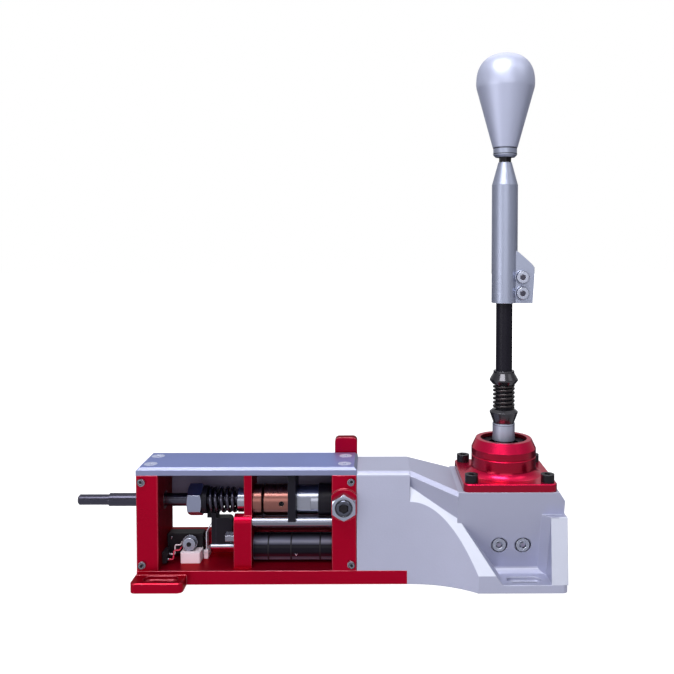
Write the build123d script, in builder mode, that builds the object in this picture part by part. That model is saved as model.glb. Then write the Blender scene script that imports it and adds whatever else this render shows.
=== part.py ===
from build123d import *
import math
import os

# Sequential shifter for a simulator rig. Millimetres, +Z up. The origin is the middle of the four
# bolt slots, on the surface that the shifter stands on. +X runs from the frame to the lever,
# and the window side of the frame faces -Y.

# Gaps shared by the whole part
running_gap = 0.05
seat_gap = 0.3
overrun = 1.0

# Bolt slots in the feet
slot_spacing_x = 272.5
slot_spacing_y = 59.0
slot_width = 6.6
slot_length = 22.6
slot_recess_width = 10.6
slot_recess_length = 26.0
slot_recess_depth = 2.6

# Frame
frame_width = 45.0
base_thickness = 10.4
shaft_head_room = 25.3
left_block_length = 16.6
window_length = 131.2
right_block_length = 19.0
base_tongue_length = 38.2
left_foot_inset = 20.0
left_foot_overhang = 1.2
left_foot_length = 39.0
left_foot_width = 75.4
left_foot_thickness = 7.4
foot_corner = 4.0
edge_break = 0.6
top_plate_thickness = 6.0
top_plate_chamfer = 2.0
bulkhead_thickness = 6.0
bulkhead_from_window = 63.6
pedestal_length = 13.5
pedestal_front = 17.2
pedestal_back = 4.0
boss_radius = 12.0
boss_height = 3.0
boss_rise = 3.4
lug_length = 18.0
lug_thickness = 8.2
lug_height = 41.0
lug_over_block = 17.6
lug_corner = 3.4
rear_cover_thickness = 2.0
rear_cover_height = 27.4
rear_sill_height = 17.9

# Main shaft and what it carries
shaft_radius = 5.0
shaft_end_radius = 4.0
shaft_end_length = 24.3
shaft_over_guide = 13.9
shaft_overhang = 51.1
shaft_edge = 1.0
bush_radius = 7.0
right_bush_length = 6.0
shaft_nut_flats = 22.0
shaft_nut_length = 11.0
shaft_nut_from_block = 18.9
seat_thickness = 3.6
seat_radius = 10.6
centring_wire = 2.9
centring_radius = 8.55
centring_turns = 5
collar_length = 6.4
collar_radius = 9.5
collar_spigot_radius = 7.2
ring_radius = 12.0
ring_length = 7.6
ring_pocket_depth = 4.0
ring_clearance = 0.45
barrel_length = 19.6
barrel_gap = 1.2
grub_radius = 2.0
grub_length = 5.0
fork_thickness = 5.8
fork_front = 18.0
fork_back = 9.0
fork_top_gap = 1.2
fork_guide_overlap = 2.0
cup_radius = 12.5
cup_length = 11.0
sleeve_radius = 11.5
sleeve_flat = 1.2
shaft_travel_gap = 1.6
guide_radius = 4.0
guide_over_damper = 9.0
guide_front = 11.0
guide_seat = 8.0

# Damper under the shaft, its bracket and its rod
damper_radius = 10.3
damper_wall = 2.3
damper_floor_gap = 0.2
damper_gland_length = 8.0
damper_rod_radius = 2.1
piston_length = 5.0
arm_thickness = 3.55
arm_depth = 8.0
arm_web_thickness = 3.5
arm_web_from_shaft = 12.5
arm_foot_drop = 1.9
arm_from_seat = 2.2
clamp_block_length = 12.6
clamp_block_depth = 9.0
clamp_block_drop = 1.0
clamp_block_corner = 3.0
stop_screw_drop = 11.5
stop_screw_front = 12.0
stop_screw_flats = 7.0
stop_screw_head = 6.8
stop_screw_radius = 1.9

# Position switch, its leaf and its wiring
switch_length = 27.8
switch_thickness = 10.3
switch_height = 15.9
switch_base = 3.4
switch_wall_gap = 0.35
bracket_front = 8.0
bracket_from_wall = 13.0
bracket_length = 15.4
bracket_height = 8.3
switch_screw_radius = 1.5
switch_screw_head_radius = 5.0
switch_screw_head = 5.0
switch_screw_from_wall = 19.0
switch_screw_height = 24.1
button_radius = 1.2
button_length = 7.0
button_height = 24.0
button_from_face = 1.8
leaf_thickness = 0.8
leaf_width = 8.0
leaf_pin_height = 15.5
leaf_bend_height = 31.0
leaf_tip_height = 37.7
leaf_gap = 2.5
leaf_front = 3.2
leaf_curl_radius = 1.7
leaf_pin_radius = 0.8
post_thickness = 4.0
socket_length = 3.6
socket_width = 11.0
socket_height = 8.4
socket_front = 12.0
wire_radius = 0.55
wire_corner = 2.8
white_wire_height = 23.2
red_wire_height = 20.4
wire_start_from_wall = 12.2
white_wire_front = 3.2
red_wire_front = 7.0

# Friction adjuster in the right block
adjuster_radius = 6.0
adjuster_socket_flats = 6.6
adjuster_length = 19.0
adjuster_nut_flats = 17.4
adjuster_nut_length = 7.0
pad_radius = 2.9
pad_length = 4.7

# Cast front housing
neck_length = 40.2
neck_step = 2.9
neck_fillet = 3.3
slope_length = 35.5
platform_over_shaft = 15.9
platform_length = 72.6
platform_half_width = 35.2
housing_end_run = 7.1
housing_end_drop = 4.6
housing_foot_end = 8.4
recess_drop = 21.0
recess_over_platform = 1.0
skirt_drop = 23.3
housing_foot_thickness = 6.0
housing_foot_half_width = 39.2
web_length = 12.2
web_height = 55.6
web_wedge = 6.0
pocket_fillet = 5.0
housing_wall = 4.5
tunnel_half_width = 13.0
tunnel_below_shaft = 5.1
tunnel_above_shaft = 13.4
stem_hole_radius = 14.0
side_screw_spacing = 18.0
side_screw_from_housing = 108.2
side_screw_rise = 23.5
side_recess_radius = 6.35
side_screw_seat = 15.5

# Pivot flange and lever
lever_from_housing = 114.7
flange_size = 70.0
flange_thickness = 6.0
flange_corner = 5.0
flange_bolt_spacing_x = 57.0
flange_bolt_spacing_y = 56.0
hub_root_radius = 34.0
hub_flare_sag = 2.2
hub_radius = 25.0
hub_cone_height = 7.0
hub_over_pivot = 6.4
hub_top_over_pivot = 13.6
hub_top_radius = 21.6
hub_mouth_radius = 17.9
hub_bore_radius = 19.0
hub_lip_over_pivot = 10.2
hub_groove = 0.5
pivot_over_platform = 19.0
pivot_ball_radius = 12.0
seat_ring_depth = 8.6
bearing_rib_count = 24
bearing_rib_width = 1.4
bearing_rib_depth = 1.2
lower_ball_radius = 6.0
stem_radius = 4.5
lever_radius = 6.35
lever_in_clamp = 45.5
stem_sleeve_radius = 8.6
stem_sleeve_over_pivot = 25.4
collar_height = 10.9
collar_body_radius = 8.1
collar_lip_radius = 10.9
collar_lip_height = 8.4
lockout_spring_length = 19.7
lockout_wire = 1.9
lockout_radius = 7.55
lockout_turns = 6
upper_collar_height = 10.4
clamp_over_pivot = 119.5
clamp_radius = 10.0
clamp_straight_length = 91.2
clamp_taper_length = 17.5
clamp_top_radius = 5.2
clamp_lug_reach = 22.1
clamp_lug_half_thickness = 6.5
clamp_lug_rise = 41.3
clamp_slit = 1.4
clamp_screw_offset = 12.6
clamp_screw_spacing = 12.4
clamp_screw_low = 7.8
stud_radius = 2.9
stud_length = 55.0
stud_below = 21.0
knob_nut_flats = 8.6
knob_nut_length = 4.0
knob_ring_radius = 9.1
knob_ring_length = 7.6
knob_ring_chamfer = 1.6
knob_foot_radius = 9.6
knob_radius = 22.5
knob_height = 72.3

# Yoke on the shaft's end
yoke_length = 22.0
yoke_width = 24.0
yoke_height = 20.0
yoke_wall_under = 4.0

# Screw sizes: shank radius, head radius, head height, socket across flats
m3_button = (1.5, 2.75, 1.8, 2.0)
m4_cap = (2.0, 3.5, 4.0, 3.0)
m5_flat = (2.5, 5.0, 2.8, 3.0)
m5_cap = (2.5, 4.5, 5.0, 4.0)
m6_cap = (3.0, 5.0, 6.0, 5.0)
base_screw_length = 14.0
top_screw_length = 14.0
side_screw_length = 8.0
flange_screw_length = 14.0
clamp_screw_length = 10.0
frame_screw_inset = 4.4
frame_screw_from_edge = 5.0

# Shares of the sizes that they go with
piston_share = 0.42
tower_lean_share = 0.308
skirt_lean_share = 0.333
socket_depth_share = 0.6
grub_place_share = 0.72
clamp_head_share = 0.25
wire_bend_share = 0.45
hexagon_corner_share = math.tan(math.radians(30))
bracket_ear_share = 0.66
white_wire_share = 0.33
red_wire_share = 0.75
slope_foot_shares = (0.36, 0.70)
flare_start_share = 0.2
flare_bend_share = 0.22
ball_hole_share = 0.75
collar_lip_shares = (0.25, 0.35, 0.80)
base_screw_share = 0.3125
top_screw_share = 0.25
knob_profile_shares = (
    (0.978, 0.621),
    (1.000, 0.685),
    (0.988, 0.745),
    (0.955, 0.800),
    (0.890, 0.852),
    (0.790, 0.901),
    (0.640, 0.944),
    (0.440, 0.976),
    (0.240, 0.993),
)
clamp_lug_shares = ((0.26, 1.0), (0.44, 0.96), (0.66, 0.855), (0.90, 0.74), (1.0, 0.67), (1.0, 0.50), (0.94, 0.0))

# Places that follow from the sizes
left_x = -slot_spacing_x / 2 - left_foot_inset
window_x = left_x + left_block_length
window_end = window_x + window_length
housing_x = window_end + right_block_length
base_end = housing_x + base_tongue_length
half_width = frame_width / 2
damper_height = base_thickness + damper_radius + damper_floor_gap
guide_height = damper_height + damper_radius + guide_over_damper + guide_radius
shaft_height = guide_height + shaft_over_guide
block_top = shaft_height + shaft_head_room
lug_top = block_top + lug_over_block
neck_top = block_top + neck_step
platform_height = shaft_height + platform_over_shaft
pivot_height = platform_height + pivot_over_platform
switch_back = switch_base + switch_thickness
bulkhead_depth = 2 * (switch_back + seat_gap)
rear_sill_depth = half_width - switch_back - seat_gap
fork_bottom = guide_height + fork_guide_overlap
arm_foot_height = damper_height - arm_foot_drop
clamp_block_top = guide_height - clamp_block_drop
stop_screw_height = guide_height - stop_screw_drop
skirt_height = neck_top - skirt_drop
side_screw_height = housing_foot_thickness + side_screw_rise
stem_sleeve_top = pivot_height + stem_sleeve_over_pivot
spring_low = stem_sleeve_top + collar_height
spring_high = spring_low + lockout_spring_length
clamp_low = pivot_height + clamp_over_pivot
lever_top = clamp_low + lever_in_clamp
clamp_taper_from = clamp_low + clamp_straight_length
clamp_top = clamp_taper_from + clamp_taper_length
hub_height = pivot_over_platform + hub_over_pivot
hub_top_height = pivot_over_platform + hub_top_over_pivot
hub_lip_height = pivot_over_platform + hub_lip_over_pivot
plate_top = block_top + top_plate_thickness
bulkhead_x = window_x + bulkhead_from_window
bulkhead_end = bulkhead_x + bulkhead_thickness
lever_x = housing_x + lever_from_housing
neck_end = housing_x + neck_length
slope_end = neck_end + slope_length
platform_end = slope_end + platform_length
housing_end = platform_end + housing_end_run
foot_end = platform_end + housing_foot_end
adjuster_x = window_end + right_block_length / 2
adjuster_height = shaft_height + boss_rise
nut_x = window_x + shaft_nut_from_block
seat_x = nut_x + shaft_nut_length
arm_x = seat_x + seat_thickness + arm_from_seat
clamp_block_x = arm_x + arm_thickness
collar_x = bulkhead_x - collar_length
ring_x = bulkhead_end - ring_clearance
barrel_x = ring_x + ring_length + barrel_gap
fork_x = barrel_x + barrel_length
sleeve_x = fork_x + fork_thickness
sleeve_end = window_end - shaft_travel_gap - shaft_radius / 2
yoke_x = lever_x - yoke_length / 2
switch_end = window_x + switch_wall_gap + switch_length
leaf_x = switch_end + leaf_gap
left_shaft_x = left_x - shaft_overhang


def axis_plane(x, y, z, direction):
    """A plane at a point whose normal runs along a named direction."""
    normals = {"x": (1, 0, 0), "y": (0, 1, 0), "z": (0, 0, 1), "-y": (0, -1, 0), "-x": (-1, 0, 0), "-z": (0, 0, -1)}
    sides = {"x": (0, 1, 0), "y": (1, 0, 0), "z": (1, 0, 0), "-y": (1, 0, 0), "-x": (0, 1, 0), "-z": (1, 0, 0)}
    return Plane(origin=(x, y, z), x_dir=sides[direction], z_dir=normals[direction])


def block(x_from, x_to, y_from, y_to, z_from, z_to, mode=Mode.ADD):
    """A rectangular block between two corners."""
    with BuildSketch(Plane.XY.offset(z_from), mode=Mode.PRIVATE) as outline:
        with Locations(((x_from + x_to) / 2, (y_from + y_to) / 2)):
            Rectangle(x_to - x_from, y_to - y_from)
    extrude(outline.sketch, amount=z_to - z_from, mode=mode)


def rod(plane, radius, length, mode=Mode.ADD):
    """A round bar or hole that starts on a plane and runs along its normal."""
    with BuildSketch(plane, mode=Mode.PRIVATE) as outline:
        Circle(radius)
    extrude(outline.sketch, amount=length, mode=mode)


def hexagon(plane, flats, length, mode=Mode.ADD):
    """A six-sided bar or socket, given by its width across flats."""
    with BuildSketch(plane, mode=Mode.PRIVATE) as outline:
        RegularPolygon(flats / 2, 6, major_radius=False, rotation=30)
    extrude(outline.sketch, amount=length, mode=mode)


def turned(plane, outline_points, mode=Mode.ADD):
    """A turned solid. The points are (radius, height along the plane's normal)."""
    section = Plane(origin=plane.origin, x_dir=plane.x_dir, z_dir=-plane.y_dir)
    with BuildSketch(section, mode=Mode.PRIVATE) as outline:
        with BuildLine():
            Polyline(*outline_points, close=True)
        make_face()
    revolve(outline.sketch, axis=Axis(plane.origin, plane.z_dir), mode=mode)


def prism(plane, outline_points, length, both=False, mode=Mode.ADD):
    """A straight bar with a many-sided section."""
    with BuildSketch(plane, mode=Mode.PRIVATE) as outline:
        with BuildLine():
            Polyline(*outline_points, close=True)
        make_face()
    extrude(outline.sketch, amount=length, both=both, mode=mode)


def screw(plane, size, length):
    """A socket screw. The plane lies under its head, with the normal pointing out of it."""
    shank_radius, head_radius, head_height, socket_flats = size
    rod(plane, head_radius, head_height)
    rod(plane, shank_radius, -length)
    hexagon(plane.offset(head_height), socket_flats, -head_height * socket_depth_share, mode=Mode.SUBTRACT)


def flat_screw(plane, size, length):
    """A countersunk socket screw. The plane is level with the top of its head."""
    shank_radius, head_radius, head_height, socket_flats = size
    turned(plane, [(0, 0), (head_radius, 0), (shank_radius, -head_height), (shank_radius, -length), (0, -length)])
    hexagon(plane, socket_flats, -head_height * socket_depth_share, mode=Mode.SUBTRACT)


def flat_screw_hole(plane, size, length):
    """The countersink and hole that a flat screw sits in."""
    shank_radius, head_radius, head_height, _ = size
    wide = head_radius + running_gap
    narrow = shank_radius + running_gap
    outline = [(0, overrun), (wide, overrun), (wide, 0), (narrow, -head_height), (narrow, -length), (0, -length)]
    turned(plane, outline, mode=Mode.SUBTRACT)


def unit(vector):
    """A vector of length one."""
    length = math.sqrt(sum(value * value for value in vector))
    return tuple(value / length for value in vector)


def biarc_joint(start, start_way, end, end_way):
    """The point and direction where two tangent arcs from start to end meet."""
    chord = [b - a for a, b in zip(start, end)]
    ways = [a + b for a, b in zip(start_way, end_way)]
    along = sum(a * b for a, b in zip(chord, ways))
    spread = 2 * (1 - sum(a * b for a, b in zip(start_way, end_way)))
    square = sum(value * value for value in chord)
    reach = (math.sqrt(along * along + spread * square) - along) / spread
    first = [a + reach * b for a, b in zip(start, start_way)]
    last = [a - reach * b for a, b in zip(end, end_way)]
    middle = tuple((a + b) / 2 for a, b in zip(first, last))
    return middle, unit([b - a for a, b in zip(first, last)])


def coil_height(turn, turns, wire, length):
    """Height of a spring's centre line after a number of turns, with one closed turn at each end."""
    closed = wire + 2 * seat_gap
    free = (length - wire - 2 * closed) / (turns - 2)
    if turn <= 1:
        return wire / 2 + closed * turn
    if turn >= turns - 1:
        return length - wire / 2 - closed * (turns - turn)
    return wire / 2 + closed + free * (turn - 1)


def coil_points(plane, radius, wire, turns, length, steps_each_turn):
    """Points on a spring's centre line, spaced evenly in turns."""
    points = []
    for step in range(turns * steps_each_turn + 1):
        turn = step / steps_each_turn
        angle = 2 * math.pi * turn
        local = (radius * math.cos(angle), radius * math.sin(angle), coil_height(turn, turns, wire, length))
        points.append(tuple(plane.from_local_coords(Vector(*local))))
    return points


def spring(plane, radius, wire, turns, length):
    """A coil spring as one unbroken wire, with its turns drawn as pairs of tangent arcs."""
    quarters = 4
    points = coil_points(plane, radius, wire, turns, length, quarters)
    ways = []
    for step in range(len(points)):
        angle = 2 * math.pi * step / quarters
        turn = step / quarters
        half = 1 / (2 * quarters)
        low = coil_height(max(turn - half, 0), turns, wire, length)
        high = coil_height(min(turn + half, turns), turns, wire, length)
        span = (min(turn + half, turns) - max(turn - half, 0)) * 2 * math.pi * radius
        local = Vector(-math.sin(angle), math.cos(angle), (high - low) / span)
        world = plane.from_local_coords(local) - plane.origin
        ways.append(unit(tuple(world)))
    with BuildLine(mode=Mode.PRIVATE) as path:
        for start, end, start_way, end_way in zip(points, points[1:], ways, ways[1:]):
            middle, middle_way = biarc_joint(start, start_way, end, end_way)
            TangentArc(start, middle, tangent=start_way)
            TangentArc(middle, end, tangent=middle_way)
    with BuildSketch(Plane(origin=points[0], z_dir=ways[0]), mode=Mode.PRIVATE) as section:
        Circle(wire / 2)
    sweep(section.sketch, path=path.line)


def spring_gap(radius, wire, turns, length):
    """The least clear distance between a spring's turns, measured on points."""
    steps = 48
    points = coil_points(Plane.XY, radius, wire, turns, length, steps)
    least = min(math.dist(a, b) for i, a in enumerate(points) for b in points[i + steps // 2:])
    return least - wire


def save(part, label):
    """Name a finished piece and write it out."""
    part.part.label = label
    export_step(part.part, "parts/" + label + ".step")


os.makedirs("parts", exist_ok=True)

# Screw places
frame_screw_xs = (left_x + frame_screw_inset, housing_x - frame_screw_inset)
frame_screw_zs = (base_thickness + frame_screw_from_edge, block_top - frame_screw_from_edge)
block_middle_xs = (left_x + left_block_length / 2, window_end + right_block_length / 2)
top_screw_y = frame_width * top_screw_share
base_screw_xs = (*block_middle_xs, housing_x + base_tongue_length / 2)
base_screw_y = frame_width * base_screw_share
side_screw_xs = (housing_x + side_screw_from_housing, housing_x + side_screw_from_housing + side_screw_spacing)


def slot_cuts(x, top):
    """The stepped bolt slots at one end, front and back."""
    for side in (-1, 1):
        with BuildSketch(Plane.XY.offset(-overrun), mode=Mode.PRIVATE) as narrow:
            with Locations((x, side * slot_spacing_y / 2)):
                SlotOverall(slot_length, slot_width)
        extrude(narrow.sketch, amount=top + 2 * overrun, mode=Mode.SUBTRACT)
        with BuildSketch(Plane.XY.offset(top - slot_recess_depth), mode=Mode.PRIVATE) as wide:
            with Locations((x, side * slot_spacing_y / 2)):
                SlotOverall(slot_recess_length, slot_recess_width)
        extrude(wide.sketch, amount=slot_recess_depth + overrun, mode=Mode.SUBTRACT)


# Base plate with the left pair of feet
with BuildPart() as base_plate:
    foot_x = left_x - left_foot_overhang
    block(foot_x, foot_x + left_foot_length, -left_foot_width / 2, left_foot_width / 2, 0, left_foot_thickness)
    fillet(base_plate.edges().filter_by(Axis.Z), radius=foot_corner)
    chamfer(base_plate.faces().sort_by(Axis.Z)[-1].edges(), length=edge_break)
    block(left_x, base_end, -half_width, half_width, 0, base_thickness)
    slot_cuts(-slot_spacing_x / 2, left_foot_thickness)
    for screw_x in base_screw_xs:
        for side in (-1, 1):
            under = axis_plane(screw_x, side * base_screw_y, 0, "-z")
            flat_screw_hole(under, m5_flat, base_thickness + overrun)
save(base_plate, "base_plate")


def block_screw_holes(x_middle, side_screw_x):
    """The threaded holes that an end block gives its screws."""
    flat_radius = m5_flat[0] + running_gap
    for side in (-1, 1):
        base_hole = axis_plane(x_middle, side * base_screw_y, 0, "z")
        rod(base_hole, flat_radius, base_screw_length + overrun, mode=Mode.SUBTRACT)
        top_hole = axis_plane(x_middle, side * top_screw_y, plate_top, "-z")
        rod(top_hole, flat_radius, top_screw_length + overrun, mode=Mode.SUBTRACT)
        for screw_z in frame_screw_zs:
            if side < 0 or screw_z < lug_top - lug_height or side_screw_x < window_x:
                face = axis_plane(side_screw_x, side * half_width, screw_z, "y" if side > 0 else "-y")
                rod(face, m3_button[0] + running_gap, -side_screw_length - overrun, mode=Mode.SUBTRACT)


# Left end block
with BuildPart() as left_block:
    block(left_x, window_x, -half_width, half_width, base_thickness, block_top)
    chamfer(left_block.edges().filter_by(Axis.Z), length=edge_break)
    rod(axis_plane(left_x, 0, shaft_height, "x"), bush_radius + running_gap, left_block_length, mode=Mode.SUBTRACT)
    block_screw_holes(block_middle_xs[0], frame_screw_xs[0])
save(left_block, "left_block")

with BuildPart() as left_bush:
    rod(axis_plane(left_x, 0, shaft_height, "x"), bush_radius, left_block_length)
    rod(axis_plane(left_x, 0, shaft_height, "x"), shaft_radius + running_gap, left_block_length, mode=Mode.SUBTRACT)
save(left_bush, "left_bush")

# Right end block with the adjuster's boss in front and a lug behind
with BuildPart() as right_block:
    block(window_end, housing_x, -half_width, half_width, base_thickness, block_top)
    chamfer(right_block.edges().filter_by(Axis.Z), length=edge_break)
    with BuildSketch(axis_plane(adjuster_x, half_width, lug_top - lug_height / 2, "y")) as lug_face:
        RectangleRounded(lug_length, lug_height, lug_corner)
    extrude(amount=lug_thickness)
    with BuildSketch(axis_plane(adjuster_x, -half_width, adjuster_height, "-y")) as boss_face:
        Circle(boss_radius)
        with Locations((0, 0)):
            Rectangle(right_block_length, 2 * boss_radius, mode=Mode.INTERSECT)
    extrude(amount=boss_height)
    rod(axis_plane(window_end, 0, shaft_height, "x"), shaft_radius + seat_gap, right_block_length, mode=Mode.SUBTRACT)
    bush_face = axis_plane(housing_x, 0, shaft_height, "-x")
    rod(bush_face, bush_radius + running_gap, right_bush_length, mode=Mode.SUBTRACT)
    adjuster_face = axis_plane(adjuster_x, -half_width - boss_height, adjuster_height, "y")
    adjuster_seat = half_width + boss_height - pad_length * 3
    rod(adjuster_face, adjuster_radius + running_gap, adjuster_seat, mode=Mode.SUBTRACT)
    rod(adjuster_face, pad_radius + running_gap, half_width + boss_height, mode=Mode.SUBTRACT)
    guide_end = axis_plane(window_end, -guide_front, guide_height, "x")
    rod(guide_end, guide_radius + running_gap, guide_seat, mode=Mode.SUBTRACT)
    block_screw_holes(block_middle_xs[1], frame_screw_xs[1])
save(right_block, "right_block")

with BuildPart() as right_bush:
    rod(bush_face, bush_radius, right_bush_length)
    rod(bush_face, shaft_radius + running_gap, right_bush_length, mode=Mode.SUBTRACT)
save(right_bush, "right_bush")

# Middle bulkhead with the pedestal that holds the guide rod
with BuildPart() as bulkhead:
    block(bulkhead_x, bulkhead_end, -bulkhead_depth / 2, bulkhead_depth / 2, base_thickness, block_top)
    pedestal_x = bulkhead_end - pedestal_length
    block(pedestal_x, bulkhead_end, -pedestal_front, -pedestal_back, base_thickness, guide_height)
    pedestal_radius = pedestal_front - guide_front
    rod(axis_plane(pedestal_x, -guide_front, guide_height, "x"), pedestal_radius, pedestal_length)
    shaft_line = axis_plane(bulkhead_end, 0, shaft_height, "-x")
    rod(shaft_line, ring_radius + running_gap, ring_pocket_depth, mode=Mode.SUBTRACT)
    rod(shaft_line, collar_spigot_radius + running_gap, pedestal_length + overrun, mode=Mode.SUBTRACT)
    guide_line = axis_plane(bulkhead_end, -guide_front, guide_height, "-x")
    rod(guide_line, guide_radius + running_gap, guide_seat, mode=Mode.SUBTRACT)
    rod_line = axis_plane(bulkhead_end, 0, damper_height, "-x")
    rod(rod_line, damper_rod_radius + seat_gap, bulkhead_thickness + overrun, mode=Mode.SUBTRACT)
    stop_line = axis_plane(pedestal_x, -stop_screw_front, stop_screw_height, "x")
    rod(stop_line, stop_screw_radius + running_gap, guide_seat + overrun, mode=Mode.SUBTRACT)
save(bulkhead, "bulkhead")

with BuildPart() as stop_screw:
    stop_face = axis_plane(pedestal_x, -stop_screw_front, stop_screw_height, "-x")
    hexagon(stop_face, stop_screw_flats, stop_screw_head)
    rod(stop_face, stop_screw_radius, -guide_seat)
save(stop_screw, "stop_screw")

with BuildPart() as guide_rod:
    guide_start = axis_plane(bulkhead_end - guide_seat, -guide_front, guide_height, "x")
    rod(guide_start, guide_radius, window_end - bulkhead_end + 2 * guide_seat)
save(guide_rod, "guide_rod")

# Top plate, flush with both ends of the frame
with BuildPart() as top_plate:
    block(left_x, housing_x, -half_width, half_width, block_top, plate_top)
    chamfer(top_plate.faces().sort_by(Axis.Z)[-1].edges(), length=top_plate_chamfer)
    for screw_x in block_middle_xs:
        for side in (-1, 1):
            top_face = axis_plane(screw_x, side * top_screw_y, plate_top, "z")
            flat_screw_hole(top_face, m5_flat, top_plate_thickness + overrun)
save(top_plate, "top_plate")

# Countersunk screws of the top plate and the base plate
with BuildPart() as plate_screws:
    for screw_x in block_middle_xs:
        for side in (-1, 1):
            flat_screw(axis_plane(screw_x, side * top_screw_y, plate_top, "z"), m5_flat, top_screw_length)
    for screw_x in base_screw_xs:
        for side in (-1, 1):
            flat_screw(axis_plane(screw_x, side * base_screw_y, 0, "-z"), m5_flat, base_screw_length)
save(plate_screws, "plate_screws")

# Button-head screws in the blocks' sides. The one behind the lug is left out
with BuildPart() as frame_screws:
    for screw_x in frame_screw_xs:
        for screw_z in frame_screw_zs:
            screw(axis_plane(screw_x, -half_width, screw_z, "-y"), m3_button, side_screw_length)
            if screw_z < lug_top - lug_height or screw_x < window_x:
                screw(axis_plane(screw_x, half_width, screw_z, "y"), m3_button, side_screw_length)
save(frame_screws, "frame_screws")

# Rear cover under the top plate, and the sill along the bottom of the rear window
with BuildPart() as rear_cover:
    cover_y = half_width - rear_cover_thickness
    block(window_x, window_end, cover_y, half_width, block_top - rear_cover_height, block_top)
    sill_top = base_thickness + rear_sill_height
    block(bulkhead_x, window_end, cover_y, half_width, sill_top, block_top)
save(rear_cover, "rear_cover")

with BuildPart() as rear_sill:
    block(window_x, window_end, half_width - rear_sill_depth, half_width, base_thickness, sill_top)
    chamfer(rear_sill.faces().sort_by(Axis.Z)[-1].edges().filter_by(Axis.X), length=edge_break)
save(rear_sill, "rear_sill")

# Main shaft, with a turned-down outer end
with BuildPart() as main_shaft:
    rod(axis_plane(left_shaft_x, 0, shaft_height, "x"), shaft_end_radius, shaft_end_length)
    chamfer(main_shaft.faces().sort_by(Axis.X)[0].edges(), length=shaft_edge)
    shaft_shoulder = left_shaft_x + shaft_end_length
    rod(axis_plane(shaft_shoulder, 0, shaft_height, "x"), shaft_radius, yoke_x + yoke_wall_under - shaft_shoulder)
save(main_shaft, "main_shaft")

shaft_hole = shaft_radius + running_gap


def shaft_bore(x_from, x_to):
    """The hole that a piece on the shaft is bored with."""
    rod(axis_plane(x_from - overrun, 0, shaft_height, "x"), shaft_hole, x_to - x_from + 2 * overrun, mode=Mode.SUBTRACT)


with BuildPart() as shaft_nut:
    hexagon(axis_plane(nut_x, 0, shaft_height, "x"), shaft_nut_flats, shaft_nut_length)
    nut_corner = shaft_nut_flats * hexagon_corner_share
    nut_bevel = nut_corner - shaft_nut_flats / 2
    nut_side = [(0, 0), (nut_corner - nut_bevel, 0), (nut_corner, nut_bevel / 2)]
    nut_side += [(nut_corner, shaft_nut_length - nut_bevel / 2), (nut_corner - nut_bevel, shaft_nut_length)]
    turned(axis_plane(nut_x, 0, shaft_height, "x"), nut_side + [(0, shaft_nut_length)], mode=Mode.INTERSECT)
    shaft_bore(nut_x, seat_x)
save(shaft_nut, "shaft_nut")

# Bracket that hangs from the shaft: spring seat, web behind the spring and leg under it
with BuildPart() as shift_arm:
    web_y = arm_web_from_shaft
    web_back = arm_web_from_shaft + arm_web_thickness
    seat_end = seat_x + seat_thickness
    rod(axis_plane(seat_x, 0, shaft_height, "x"), seat_radius, seat_thickness)
    block(seat_x, seat_end, 0, web_back, shaft_height - shaft_radius, shaft_height + shaft_radius)
    leg_top = shaft_height - seat_radius - seat_gap
    block(seat_x, arm_x + arm_thickness, web_y, web_back, leg_top - arm_depth, shaft_height + shaft_radius)
    block(arm_x, arm_x + arm_thickness, 0, web_back, leg_top - arm_depth, leg_top)
    block(arm_x, arm_x + arm_thickness, 0, arm_depth, arm_foot_height, leg_top)
    shaft_bore(seat_x, seat_end)
    rod_groove = axis_plane(arm_x - overrun, 0, damper_height, "x")
    rod(rod_groove, damper_rod_radius + running_gap, arm_thickness + 2 * overrun, mode=Mode.SUBTRACT)
save(shift_arm, "shift_arm")

# Block that clamps the damper's rod to the arm
with BuildPart() as rod_clamp:
    clamp_end = clamp_block_x + clamp_block_length
    block(clamp_block_x, clamp_end, 0, clamp_block_depth, arm_foot_height, clamp_block_top)
    clamp_edges = rod_clamp.edges().filter_by(Axis.Y).group_by(Axis.Z)[-1].sort_by(Axis.X)
    fillet(clamp_edges[-1], radius=clamp_block_corner)
    clamp_groove = axis_plane(clamp_block_x - overrun, 0, damper_height, "x")
    rod(clamp_groove, damper_rod_radius + running_gap, clamp_block_length + 2 * overrun, mode=Mode.SUBTRACT)
save(rod_clamp, "rod_clamp")

# Centring spring between the arm's seat and the collar on the bulkhead
centring_length = collar_x - seat_end - 2 * running_gap
with BuildPart() as centring_spring:
    centring_plane = axis_plane(seat_end + running_gap, 0, shaft_height, "x")
    spring(centring_plane, centring_radius, centring_wire, centring_turns, centring_length)
save(centring_spring, "centring_spring")

with BuildPart() as spring_collar:
    rod(axis_plane(collar_x, 0, shaft_height, "x"), collar_radius, collar_length)
    chamfer(spring_collar.edges().filter_by(GeomType.CIRCLE), length=edge_break)
    spigot_length = bulkhead_thickness - ring_pocket_depth
    rod(axis_plane(bulkhead_x, 0, shaft_height, "x"), collar_spigot_radius, spigot_length)
    shaft_bore(collar_x, bulkhead_end)
save(spring_collar, "spring_collar")

# Bronze ring that runs in the bulkhead, and the barrel beside it
with BuildPart() as bronze_ring:
    rod(axis_plane(ring_x, 0, shaft_height, "x"), ring_radius, ring_length)
    chamfer(bronze_ring.edges().filter_by(GeomType.CIRCLE), length=edge_break)
    shaft_bore(ring_x, ring_x + ring_length)
save(bronze_ring, "bronze_ring")

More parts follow.
